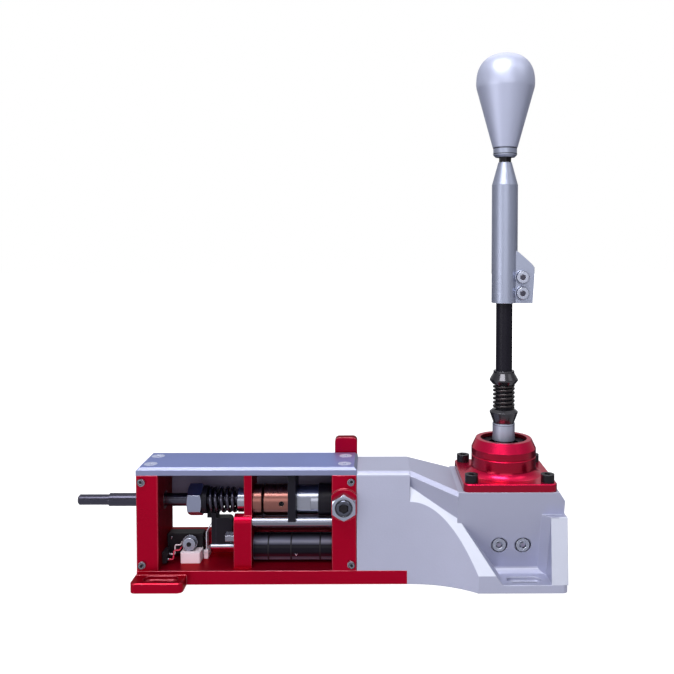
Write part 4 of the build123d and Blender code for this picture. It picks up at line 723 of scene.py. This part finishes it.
@dataclass
class Unit:
    """A sub-assembly: the CAD nodes it covers and what it adds to them."""

    title: ClassVar[str]
    finishes: ClassVar[dict[str, Finish]]
    # Steps round a turned piece and round a hoop's wire, and the size of a socket's dark disc of
    # painted shade, in millimetres
    ROUND_STEPS = 48
    WIRE_STEPS = 10
    SOCKET_PIN = 0.02
    SOCKET_OUT = 0.05
    SOCKET_IN = 0.03

    effects: EffectLibrary

    def paint(self, finish: Finish) -> bpy.types.Material:
        """Gives a finish's material, made once.

        Args:
            finish: the surface treatment.

        Returns:
            The material.
        """
        if finish not in self.effects.looks:
            self.effects.looks[finish] = finish.material(self.effects)
        return self.effects.looks[finish]

    def dress(self) -> None:
        """Puts each node's finish on it."""
        for node, finish in self.finishes.items():
            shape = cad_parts[node]
            shape.data.materials.clear()
            shape.data.materials.append(self.paint(finish))
            log.info("%s: %s in %s", self.title, node, finish.name)

    def add(
        self, name: str, points: list, faces: list, finish: Finish, body: str = "frame"
    ) -> bpy.types.Mesh:
        """Adds an object of its own to the sub-assembly.

        Args:
            name: the object's name.
            points: its corners, in metres.
            faces: its faces, as corner numbers.
            finish: its surface treatment.
            body: the body that it moves with.

        Returns:
            The object's mesh.
        """
        mesh = bpy.data.meshes.new(name)
        mesh.from_pydata(points, [], faces)
        mesh.materials.append(self.paint(finish))
        made = bpy.data.objects.new(name, mesh)
        bpy.context.scene.collection.objects.link(made)
        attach(made, body)
        log.info("%s: added %s", self.title, name)
        return mesh

    def turn(
        self,
        name: str,
        place: Point,
        axis: Axis,
        profile: Profile,
        finish: Finish,
        body: str = "frame",
        smooth: bool = True,
    ) -> None:
        """Adds a turned piece whose closed profile goes round an axis.

        Args:
            name: the object's name.
            place: a point on the axis, in millimetres.
            axis: the axis' direction.
            profile: (radius, height) pairs in millimetres.
            finish: its surface treatment.
            body: the body that it moves with.
            smooth: whether its shading is smooth.
        """
        along, across, other = (Vector(way) for way in axis.value)
        steps = self.ROUND_STEPS
        points = []
        for step in range(steps):
            angle = 2 * math.pi * step / steps
            spoke = across * math.cos(angle) + other * math.sin(angle)
            ring = [Vector(place) + spoke * radius + along * height for radius, height in profile]
            points += [tuple(point / MM_PER_METRE) for point in ring]
        count = len(profile)
        faces = []
        for step in range(steps):
            here, there = step * count, (step + 1) % steps * count
            for corner in range(count):
                nearby = (corner + 1) % count
                faces.append((here + corner, there + corner, there + nearby, here + nearby))
        for polygon in self.add(name, points, faces, finish, body).polygons:
            polygon.use_smooth = smooth

    def hoop(
        self,
        name: str,
        place: Point,
        axis: Axis,
        radius: float,
        wire: float,
        finish: Finish,
        body: str = "frame",
    ) -> None:
        """Adds a thin round hoop, such as a snap ring or one turn of a thread.

        Args:
            name: the object's name.
            place: its middle, in millimetres.
            axis: its axis.
            radius: from its middle to the wire's middle.
            wire: the wire's radius.
            finish: its surface treatment.
            body: the body that it moves with.
        """
        turns = [2 * math.pi * step / self.WIRE_STEPS for step in range(self.WIRE_STEPS)]
        profile = [(radius + wire * math.cos(turn), wire * math.sin(turn)) for turn in turns]
        self.turn(name, place, axis, profile, finish, body)

    def socket_shade(
        self, name: str, place: Point, reach: float, finish: Finish, body: str = "frame"
    ) -> None:
        """Adds a dark disc just in front of a screw's face: painted shade in the screw's socket.

        Args:
            name: the object's name.
            place: the face's middle, in millimetres.
            reach: the socket's radius.
            finish: its surface treatment.
            body: the body that it moves with.
        """
        pin, front, back = self.SOCKET_PIN, -self.SOCKET_OUT, self.SOCKET_IN
        profile = [(pin, front), (reach, front), (reach, back), (pin, back)]
        self.turn(name, place, Axis.Y, profile, finish, body, smooth=False)

    def flex(self, node: str, fixed: str, moving: str, start: Point, end: Point) -> None:
        """Replaces a spring with a plain copy of its coil.

        Args:
            node: the spring's node.
            fixed: the body that its start rests on.
            moving: the body that its end meets.
            start: where it rests on the first body, in metres; not used.
            end: where it meets the second body, in metres; not used.
        """
        coil = bpy.data.objects.new(node + "_coil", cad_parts[node].data.copy())
        bpy.context.scene.collection.objects.link(coil)
        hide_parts(node)
        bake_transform(coil)
        log.info("%s: %s follows %s and %s", self.title, coil.name, fixed, moving)

    def detail(self) -> None:
        """Adds the sub-assembly's own small pieces."""

    def build(self) -> None:
        """Dresses the nodes, then adds the details."""
        self.dress()
        self.detail()


class FrameUnit(Unit):
    """Base plate, end blocks, top plate, bulkhead and rear pieces."""

    title = "frame"
    finishes = {
        "base_plate": RED,
        "left_block": RED,
        "right_block": RED,
        "bulkhead": RED,
        "rear_sill": RED,
        "top_plate": TOP,
        "rear_cover": COVER,
        "plate_screws": PLATE_SCREW,
        "frame_screws": SCREW,
        "stop_screw": SCREW,
        "left_bush": BRONZE,
        "right_bush": BRONZE,
        "guide_rod": ROD_STEEL,
    }
    SCREW_RADIUS = 2.2
    BORE_SHADOW_GAP = 0.05
    RIM_WIRE = 0.22
    SOCKET_RADIUS = 1.15

    def detail(self) -> None:
        """Adds painted shade at the small screws in the end blocks: a dark ring as painted shadow
        in the bore round each head, and a dark disc in each socket.
        """
        screws = Box(*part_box("frame_screws"))
        radius = self.SCREW_RADIUS
        xs = (screws.low[X] + radius, screws.high[X] - radius)
        zs = (screws.low[Z] + radius, screws.high[Z] - radius)
        for number, (x, z) in enumerate(product(xs, zs)):
            place = (x, screws.low[Y], z)
            # A dark ring in the gap round the head: painted shadow in the bore.
            rim = radius + self.BORE_SHADOW_GAP
            self.hoop(f"screw_bore_shadow_{number}", place, Axis.Y, rim, self.RIM_WIRE, OXIDE)
            # A dark disc: painted shade in the socket.
            self.socket_shade(f"socket_{number}", place, self.SOCKET_RADIUS, PLASTIC)


class ShaftUnit(Unit):
    """The main shaft, what is threaded on it and the friction adjuster."""

    title = "shaft"
    finishes = {
        "main_shaft": DARK_STEEL,
        "shaft_nut": NUT,
        "shift_arm": BLACK,
        "rod_clamp": BLACK,
        "centring_spring": DARK_STEEL,
        "bronze_ring": BRONZE,
        "bronze_barrel": BRONZE,
        "barrel_grub": OXIDE,
        "fork_plate": BLACK,
        "steel_sleeve": STEEL,
        "end_cup": BLACK,
        "spring_collar": STEEL,
        "shaft_yoke": STEEL,
        "adjuster_nut": ZINC,
        "adjuster_screw": CHROME,
        "friction_pad": WHITE,
    }
    RIM_INSET = 1.0
    RIM_WIRE = 0.45
    SOCKET_SHARE = 0.5
    THREAD_GAP = 0.45
    THREAD_WIRE = 0.3
    SNAP_RING_BACK = 0.6
    SNAP_RING_RADIUS = 5.3
    SNAP_RING_WIRE = 0.35

    def detail(self) -> None:
        """Adds the springy coil, a bright ring as painted highlight on the adjuster and painted
        shade in its socket, and a snap ring on the shaft.
        """
        near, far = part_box("centring_spring")
        middle = (near[Z] + far[Z]) / 2
        ends = ((far[X], 0.0, middle), (near[X], 0.0, middle))
        self.flex("centring_spring", "frame", "shaft", *ends)
        screw = Box(*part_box("adjuster_screw"))
        x, face, z = screw.middle(X), screw.low[Y], screw.middle(Z)
        radius = screw.reach(X)
        # A bright ring on the adjuster's end: painted highlight.
        place = (x, face + self.RIM_WIRE, z)
        rim = radius - self.RIM_INSET
        self.hoop("adjuster_highlight_ring", place, Axis.Y, rim, self.RIM_WIRE, STEEL)
        # A dark disc: painted shade in the adjuster's socket.
        self.socket_shade("adjuster_socket", (x, face, z), radius * self.SOCKET_SHARE, PLASTIC)
        place = (x, Box(*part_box("adjuster_nut")).low[Y], z)
        thread = radius + self.THREAD_GAP
        self.hoop("nut_thread", place, Axis.Y, thread, self.THREAD_WIRE, OXIDE)
        ring_x = Box(*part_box("bronze_barrel")).low[X] - self.SNAP_RING_BACK
        place = (ring_x, 0, Box(*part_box("main_shaft")).middle(Z))
        size = (self.SNAP_RING_RADIUS, self.SNAP_RING_WIRE)
        self.hoop("snap_ring", place, Axis.X, *size, OXIDE, "shaft")


class DamperUnit(Unit):
    """The damper below the shaft."""

    title = "damper"
    finishes = {
        "damper_cylinder": GLOSS,
        "damper_gland": GLOSS,
        "damper_rod": STEEL,
        "damper_piston": STEEL,
    }
    # Dark rings where the reflection along the damper breaks, counted back from the right block:
    # painted reflection.
    REFLECTION_GAPS_FROM_BLOCK = (50.4, 32.8, 10.3)
    BAND_WIDTH = 1.2
    BAND_DEPTH = 0.3
    BAND_OUT = 0.05
    PLUG_FROM_END = 33.5
    PLUG_IN = 0.25
    PLUG_DROP = 2.6
    PLUG_PROFILE = ((0.4, 0), (1.1, 0), (1.1, 0.6), (0.4, 0.8))

    def detail(self) -> None:
        """Adds three dark rings on the damper as painted reflection, and the small screw that fills
        it.
        """
        cylinder = Box(*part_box("damper_cylinder"))
        z, radius = cylinder.middle(Z), cylinder.reach(Z)
        band = tube(radius - self.BAND_DEPTH, radius + self.BAND_OUT, self.BAND_WIDTH)
        block_x = Box(*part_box("right_block")).low[X]
        for number, back in enumerate(self.REFLECTION_GAPS_FROM_BLOCK):
            place = (block_x - back, 0, z)
            self.turn(f"damper_reflection_gap_{number}", place, Axis.X, band, PLASTIC, smooth=False)
        place = (cylinder.low[X] + self.PLUG_FROM_END, self.PLUG_IN - radius, z - self.PLUG_DROP)
        self.turn("damper_plug", place, Axis.Y, self.PLUG_PROFILE, ZINC)


class SwitchUnit(Unit):
    """The position switch, its leaf and its wires."""

    title = "switch"
    finishes = {
        "switch_body": PLASTIC,
        "switch_button": PLASTIC,
        "wire_socket": PLASTIC,
        "switch_bracket": WHITE,
        "leaf_post": WHITE,
        "white_wire": WHITE,
        "red_wire": WIRE_RED,
        "switch_screw": ZINC,
        "switch_leaf": LEAF,
        "leaf_pin": LEAF,
    }
    TEETH = 40
    TOOTH_HALF = 0.25
    TOOTH_HEIGHT = 0.28
    TOOTH_INSET = 0.03
    KNURL_ENDS = (0.6, 4.4)
    SOCKET_RADIUS = 1.9
    WASHER_BORE = 1.7
    WASHER_OUT = 0.9
    WASHER_THICKNESS = 0.5
    TERMINAL = tube(0.58, 1.3, 1.1)
    TERMINALS = ((0.33, 4.2), (0.75, 2.1))
    RIVET = ((0.05, -0.25), (0.8, -0.15), (1.0, 0.0), (0.05, 0.0))
    RIVET_SHARES = (0.12, 0.6)
    RIVET_DROP = 3.2

    def _knurling(self, x: float, head: float, z: float, radius: float) -> None:
        """Adds the teeth round the screw's head.

        Args:
            x: the head's middle across, in millimetres.
            head: its front face.
            z: its middle in height.
            radius: its radius.
        """
        tooth_sides = ((-self.TOOTH_HALF, 0.0), (0.0, self.TOOTH_HEIGHT), (self.TOOTH_HALF, 0.0))
        points, faces = [], []
        for tooth in range(self.TEETH):
            for offset, height in tooth_sides:
                angle = 2 * math.pi * (tooth + offset) / self.TEETH
                reach = radius - self.TOOTH_INSET + height
                for end in self.KNURL_ENDS:
                    spot = (x + reach * math.cos(angle), head + end, z + reach * math.sin(angle))
                    points.append(tuple(value / MM_PER_METRE for value in spot))
            first = tooth * len(tooth_sides) * len(self.KNURL_ENDS)
            for corner in (first, first + 2):
                faces.append((corner, corner + 1, corner + 3, corner + 2))
        self.add("knurling", points, faces, DARK_STEEL)

    def detail(self) -> None:
        """Adds the screw's knurling and washer, the socket's terminals and the switch's rivets."""
        screw = Box(*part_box("switch_screw"))
        x, head, z, radius = screw.middle(X), screw.low[Y], screw.middle(Z), screw.reach(X)
        self._knurling(x, head, z, radius)
        # A dark disc: painted shade in the screw's socket.
        self.socket_shade("screw_socket", (x, head, z), self.SOCKET_RADIUS, PLASTIC)
        washer = tube(self.WASHER_BORE, radius + self.WASHER_OUT, self.WASHER_THICKNESS)
        place = (x, -self.WASHER_THICKNESS, z)
        self.turn("screw_washer", place, Axis.Y, washer, STEEL, smooth=False)
        socket = Box(*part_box("wire_socket"))
        for number, (share, height) in enumerate(self.TERMINALS):
            place = (socket.high[X], socket.low[Y] * share, socket.low[Z] + height)
            self.turn(f"terminal_{number}", place, Axis.X, self.TERMINAL, STEEL)
        switch = Box(*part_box("switch_body"))
        for number, share in enumerate(self.RIVET_SHARES):
            rivet_x = switch.low[X] + 2 * switch.reach(X) * share
            place = (rivet_x, switch.low[Y], switch.high[Z] - self.RIVET_DROP)
            self.turn(f"switch_rivet_{number}", place, Axis.Y, self.RIVET, STEEL)


class HousingUnit(Unit):
    """The cast housing and its screws."""

    title = "housing"
    finishes = {"front_housing": CAST, "housing_screws": ZINC}
    SOCKET_RADIUS = 1.5
    RING_SHARE = 0.62
    RING_WIRE = 0.16

    def detail(self) -> None:
        """Adds a dark disc as painted shade in the socket, and a shallow ring, on each of the two
        screws in the tower's front face.
        """
        screws = Box(*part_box("housing_screws"))
        radius = screws.reach(Z)
        for number, x in enumerate((screws.low[X] + radius, screws.high[X] - radius)):
            place = (x, screws.low[Y], screws.middle(Z))
            # A dark disc: painted shade in the socket.
            self.socket_shade(f"housing_socket_{number}", place, self.SOCKET_RADIUS, COVER)
            ring = radius * self.RING_SHARE
            self.hoop(f"housing_ring_{number}", place, Axis.Y, ring, self.RING_WIRE, CAST)


class LeverUnit(Unit):
    """Pivot flange, lever, lockout collar, clamp tube and knob."""

    title = "lever"
    finishes = {
        "pivot_flange": RED_FLANGE,
        "flange_screws": OXIDE,
        "ball_seat": PLASTIC,
        "bearing_ring": BLACK,
        "lever_rod": BLACK,
        "stem_sleeve": SLEEVE,
        "lift_collar": COLLAR,
        "lockout_spring": COIL,
        "upper_collar": COLLAR,
        "clamp_tube": TURNED,
        "clamp_screws": ZINC,
        "knob_stud": OXIDE,
        "knob_nut": OXIDE,
        "knob_ring": TURNED,
        "knob": KNOB,
    }
    GROOVE_HEIGHTS = (2.6, 6.9)
    GROOVE_INSET = 0.1
    GROOVE_WIRE = 0.32
    CLAMP_HEAD_RADIUS = 4.5
    CLAMP_SEAT_BACK = 3.7
    CLAMP_SEAT_RADIUS = 5.1
    CLAMP_SEAT_WIRE = 0.6
    CLAMP_SOCKET_RADIUS = 2.2
    SLEEVE_LINE_DROP = 1.2
    SLEEVE_LINE_RADIUS = 8.5
    SLEEVE_LINE_WIRE = 0.2

    def detail(self) -> None:
        """Adds the springy coil, dark lines as painted shade in the grooves of the knob's ring, and
        dark discs as painted shade in the clamp screws' sockets.
        """
        near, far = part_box("lockout_spring")
        column = (near[X] + far[X]) / 2
        ends = ((column, 0.0, far[Z]), (column, 0.0, near[Z]))
        self.flex("lockout_spring", "lever", "lockout", *ends)
        ring = Box(*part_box("knob_ring"))
        groove = ring.reach(X) - self.GROOVE_INSET
        for number, height in enumerate(self.GROOVE_HEIGHTS):
            place = (ring.middle(X), 0, ring.low[Z] + height)
            size = (groove, self.GROOVE_WIRE)
            # A dark line: painted shade in the groove.
            self.hoop(f"ring_groove_shade_{number}", place, Axis.Z, *size, OXIDE, "lever")
        screws = Box(*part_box("clamp_screws"))
        x, head, radius = screws.middle(X), screws.low[Y], self.CLAMP_HEAD_RADIUS
        for number, z in enumerate((screws.low[Z] + radius, screws.high[Z] - radius)):
            place = (x, head + self.CLAMP_SEAT_BACK, z)
            size = (self.CLAMP_SEAT_RADIUS, self.CLAMP_SEAT_WIRE)
            self.hoop(f"clamp_seat_{number}", place, Axis.Y, *size, TURNED, "lever")
            reach = self.CLAMP_SOCKET_RADIUS
            # A dark disc: painted shade in the clamp screw's socket.
            self.socket_shade(f"clamp_socket_{number}", (x, head, z), reach, DARK_STEEL, "lever")
        line_z = Box(*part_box("stem_sleeve")).high[Z] - self.SLEEVE_LINE_DROP
        size = (self.SLEEVE_LINE_RADIUS, self.SLEEVE_LINE_WIRE)
        self.hoop("sleeve_line", (ring.middle(X), 0, line_z), Axis.Z, *size, OXIDE, "lever")


@dataclass(frozen=True)
class Lamp:
    """One soft area light. Places and sizes are in metres, the power in watts."""

    name: str
    place: Point
    aim: Point
    size: tuple[float, float]
    power: float
    colour: Colour = (1.0, 1.0, 1.0)

    def build(self) -> None:
        """Adds the light, turned towards its aim."""
        data = bpy.data.lights.new(self.name, "AREA")
        data.shape = "RECTANGLE"
        data.size, data.size_y = self.size
        data.energy = self.power
        data.color = self.colour
        lamp = bpy.data.objects.new(self.name, data)
        lamp.location = self.place
        aim = Vector(self.aim) - Vector(self.place)
        lamp.rotation_euler = aim.to_track_quat("-Z", "Y").to_euler()
        bpy.context.scene.collection.objects.link(lamp)
        log.info("lamp %s, %.1f W", self.name, self.power)


class Studio:
    """Camera, lamps, world and floor."""

    # Places are in metres, the pitch and the yaw in radians
    CAMERA_PLACE: Point = (0.0214, -0.6178, 0.2594)
    PITCH = 0.0342
    YAW = -0.0067
    LENS_MM = 42.47
    SENSOR_MM = 36.0
    SHIFT = (-0.0584, -0.10)
    NEAREST = 0.01
    MIDDLE: Point = (0.0, 0.0, 0.12)
    LAMPS = (
        Lamp("key", (-0.20, -0.60, 1.15), MIDDLE, (0.8, 0.6), 16.0, (0.97, 0.98, 1.0)),
        Lamp("front", (0.10, -1.60, 0.45), MIDDLE, (1.2, 0.6), 4.5),
        Lamp("left_low", (-0.95, -0.85, 0.22), (0.08, 0.0, 0.03), (0.6, 0.4), 3.5),
        Lamp("right_strip", (0.85, -0.40, 0.95), (0.1, 0.0, 0.10), (0.5, 0.5), 1.0),
        Lamp("back", (0.2, 0.7, 1.20), MIDDLE, (1.0, 0.6), 2.0),
    )
    # A line is given by gain and offset, a ramp by start and steepness
    FILL_COLOUR: Colour = (0.80, 0.84, 1.0)
    FILL_STRENGTH = 0.36
    MIRROR_COLOUR: Colour = (0.95, 0.96, 1.0)
    MIRROR_LINE = (0.65, 0.35)
    MIRROR_BACK = (-0.3, 0.12)
    MIRROR_HIGH = (0.45, 2.4)
    BACKDROP_COLOUR: Colour = (1.0, 1.0, 1.0)
    FLOOR_LEVEL = -0.0005
    FLOOR_REACH = 6.0
    FLOOR_NEAR: Colour = (0.90, 0.90, 0.90)
    FLOOR_GLOW = 1.56
    FLOOR_FAR_FROM = 0.6
    FLOOR_SEEN_LINE = (0.5, 0.5)
    FLOOR_LIT: Colour = (0.42, 0.42, 0.45)
    FLOOR_BEHIND: Colour = (0.04, 0.04, 0.05)
    BEHIND_RAMP = (0.02, 12.0)
    FRONT_SHEEN = 0.45

    def camera(self) -> None:
        """Places the camera as the photo's was: nearly level, with the lens shifted a little."""
        data = bpy.data.cameras.new("camera")
        data.lens = self.LENS_MM
        data.sensor_width = self.SENSOR_MM
        data.shift_x, data.shift_y = self.SHIFT
        data.clip_start = self.NEAREST
        eye = bpy.data.objects.new("camera", data)
        eye.location = self.CAMERA_PLACE
        eye.rotation_euler = (math.radians(90) - self.PITCH, 0, self.YAW)
        bpy.context.scene.collection.objects.link(eye)
        bpy.context.scene.camera = eye

    def world(self) -> None:
        """Lights evenly from all sides.

        The camera sees white. Mirrors see more light high up, and a little more towards the back.
        """
        world = bpy.data.worlds.new("studio")
        bpy.context.scene.world = world
        world.use_nodes = True
        world.node_tree.nodes.clear()
        graph = Graph(world.node_tree)
        out = graph.node("ShaderNodeOutputWorld")
        path = graph.node("ShaderNodeLightPath").outputs
        way = graph.parts(graph.node("ShaderNodeTexCoord").outputs["Generated"])
        back = graph.ramp(way["Y"], *self.MIRROR_BACK)
        high = graph.ramp(way["Z"], *self.MIRROR_HIGH)
        lit = graph.line(graph.math("MAXIMUM", back, high), *self.MIRROR_LINE)
        fill = graph.shade("ShaderNodeBackground", self.FILL_COLOUR, self.FILL_STRENGTH)
        mirror = graph.shade("ShaderNodeBackground", self.MIRROR_COLOUR, lit)
        white = graph.shade("ShaderNodeBackground", self.BACKDROP_COLOUR, 1.0)
        unseen = graph.blend(path["Is Glossy Ray"], fill, mirror)
        seen = graph.math("MAXIMUM", path["Is Camera Ray"], path["Is Transmission Ray"])
        graph.join(graph.blend(seen, unseen, white), out.inputs["Surface"])

    def floor(self) -> None:
        """Adds a plain floor."""
        mesh = bpy.data.meshes.new("floor")
        wide, level = self.FLOOR_REACH, self.FLOOR_LEVEL
        corners = ((-wide, -wide), (wide, -wide), (wide, wide), (-wide, wide))
        mesh.from_pydata([(x, y, level) for x, y in corners], [], [(0, 1, 2, 3)])
        plane = bpy.data.objects.new("floor", mesh)
        bpy.context.scene.collection.objects.link(plane)
        mesh.materials.append(self._floor_look())

    def _floor_look(self) -> bpy.types.Material:
        """Builds the floor's material.

        The camera sees white. Mirrors see a soft sheen in front of the object and a dark floor
        behind it, and all else sees a pale grey that lights the object from below.

        Returns:
            The material.
        """
        made = bpy.data.materials.new("floor_white")
        made.use_nodes = True
        made.node_tree.nodes.clear()
        graph = Graph(made.node_tree)
        out = graph.node("ShaderNodeOutputMaterial")
        path = graph.node("ShaderNodeLightPath").outputs
        place = graph.node("ShaderNodeTexCoord").outputs["Object"]
        reach = graph.node("ShaderNodeVectorMath", operation="LENGTH")
        graph.join(place, reach.inputs[0])
        far = graph.ramp(reach.outputs["Value"], self.FLOOR_FAR_FROM)
        near = graph.shade("ShaderNodeBsdfDiffuse", self.FLOOR_NEAR)
        glow = graph.shade("ShaderNodeEmission", strength=self.FLOOR_GLOW)
        seen = graph.blend(graph.line(far, *self.FLOOR_SEEN_LINE), near, glow)
        behind = graph.ramp(graph.parts(place)["Y"], *self.BEHIND_RAMP)
        lit = graph.shade("ShaderNodeBsdfDiffuse", self.FLOOR_LIT)
        dark = graph.shade("ShaderNodeBsdfDiffuse", self.FLOOR_BEHIND)
        mirrored = path["Is Glossy Ray"]
        shaded = graph.blend(graph.math("MULTIPLY", mirrored, behind), lit, dark)
        front = graph.math("MULTIPLY", graph.math("SUBTRACT", 1.0, behind), self.FRONT_SHEEN)
        sheen = graph.shade("ShaderNodeEmission")
        unseen = graph.blend(graph.math("MULTIPLY", mirrored, front), shaded, sheen)
        graph.join(graph.blend(path["Is Camera Ray"], unseen, seen), out.inputs["Surface"])
        return made

    def build(self) -> None:
        """Sets up everything around the object."""
        self.camera()
        self.world()
        self.floor()
        for lamp in self.LAMPS:
            lamp.build()
        bpy.context.scene.view_settings.view_transform = "Standard"


def main() -> None:
    """Builds the units and the studio."""
    effects = EffectLibrary()
    for unit in (FrameUnit, ShaftUnit, DamperUnit, SwitchUnit, HousingUnit, LeverUnit):
        unit(effects).build()
    Studio().build()


if __name__ == "__main__":
    main()
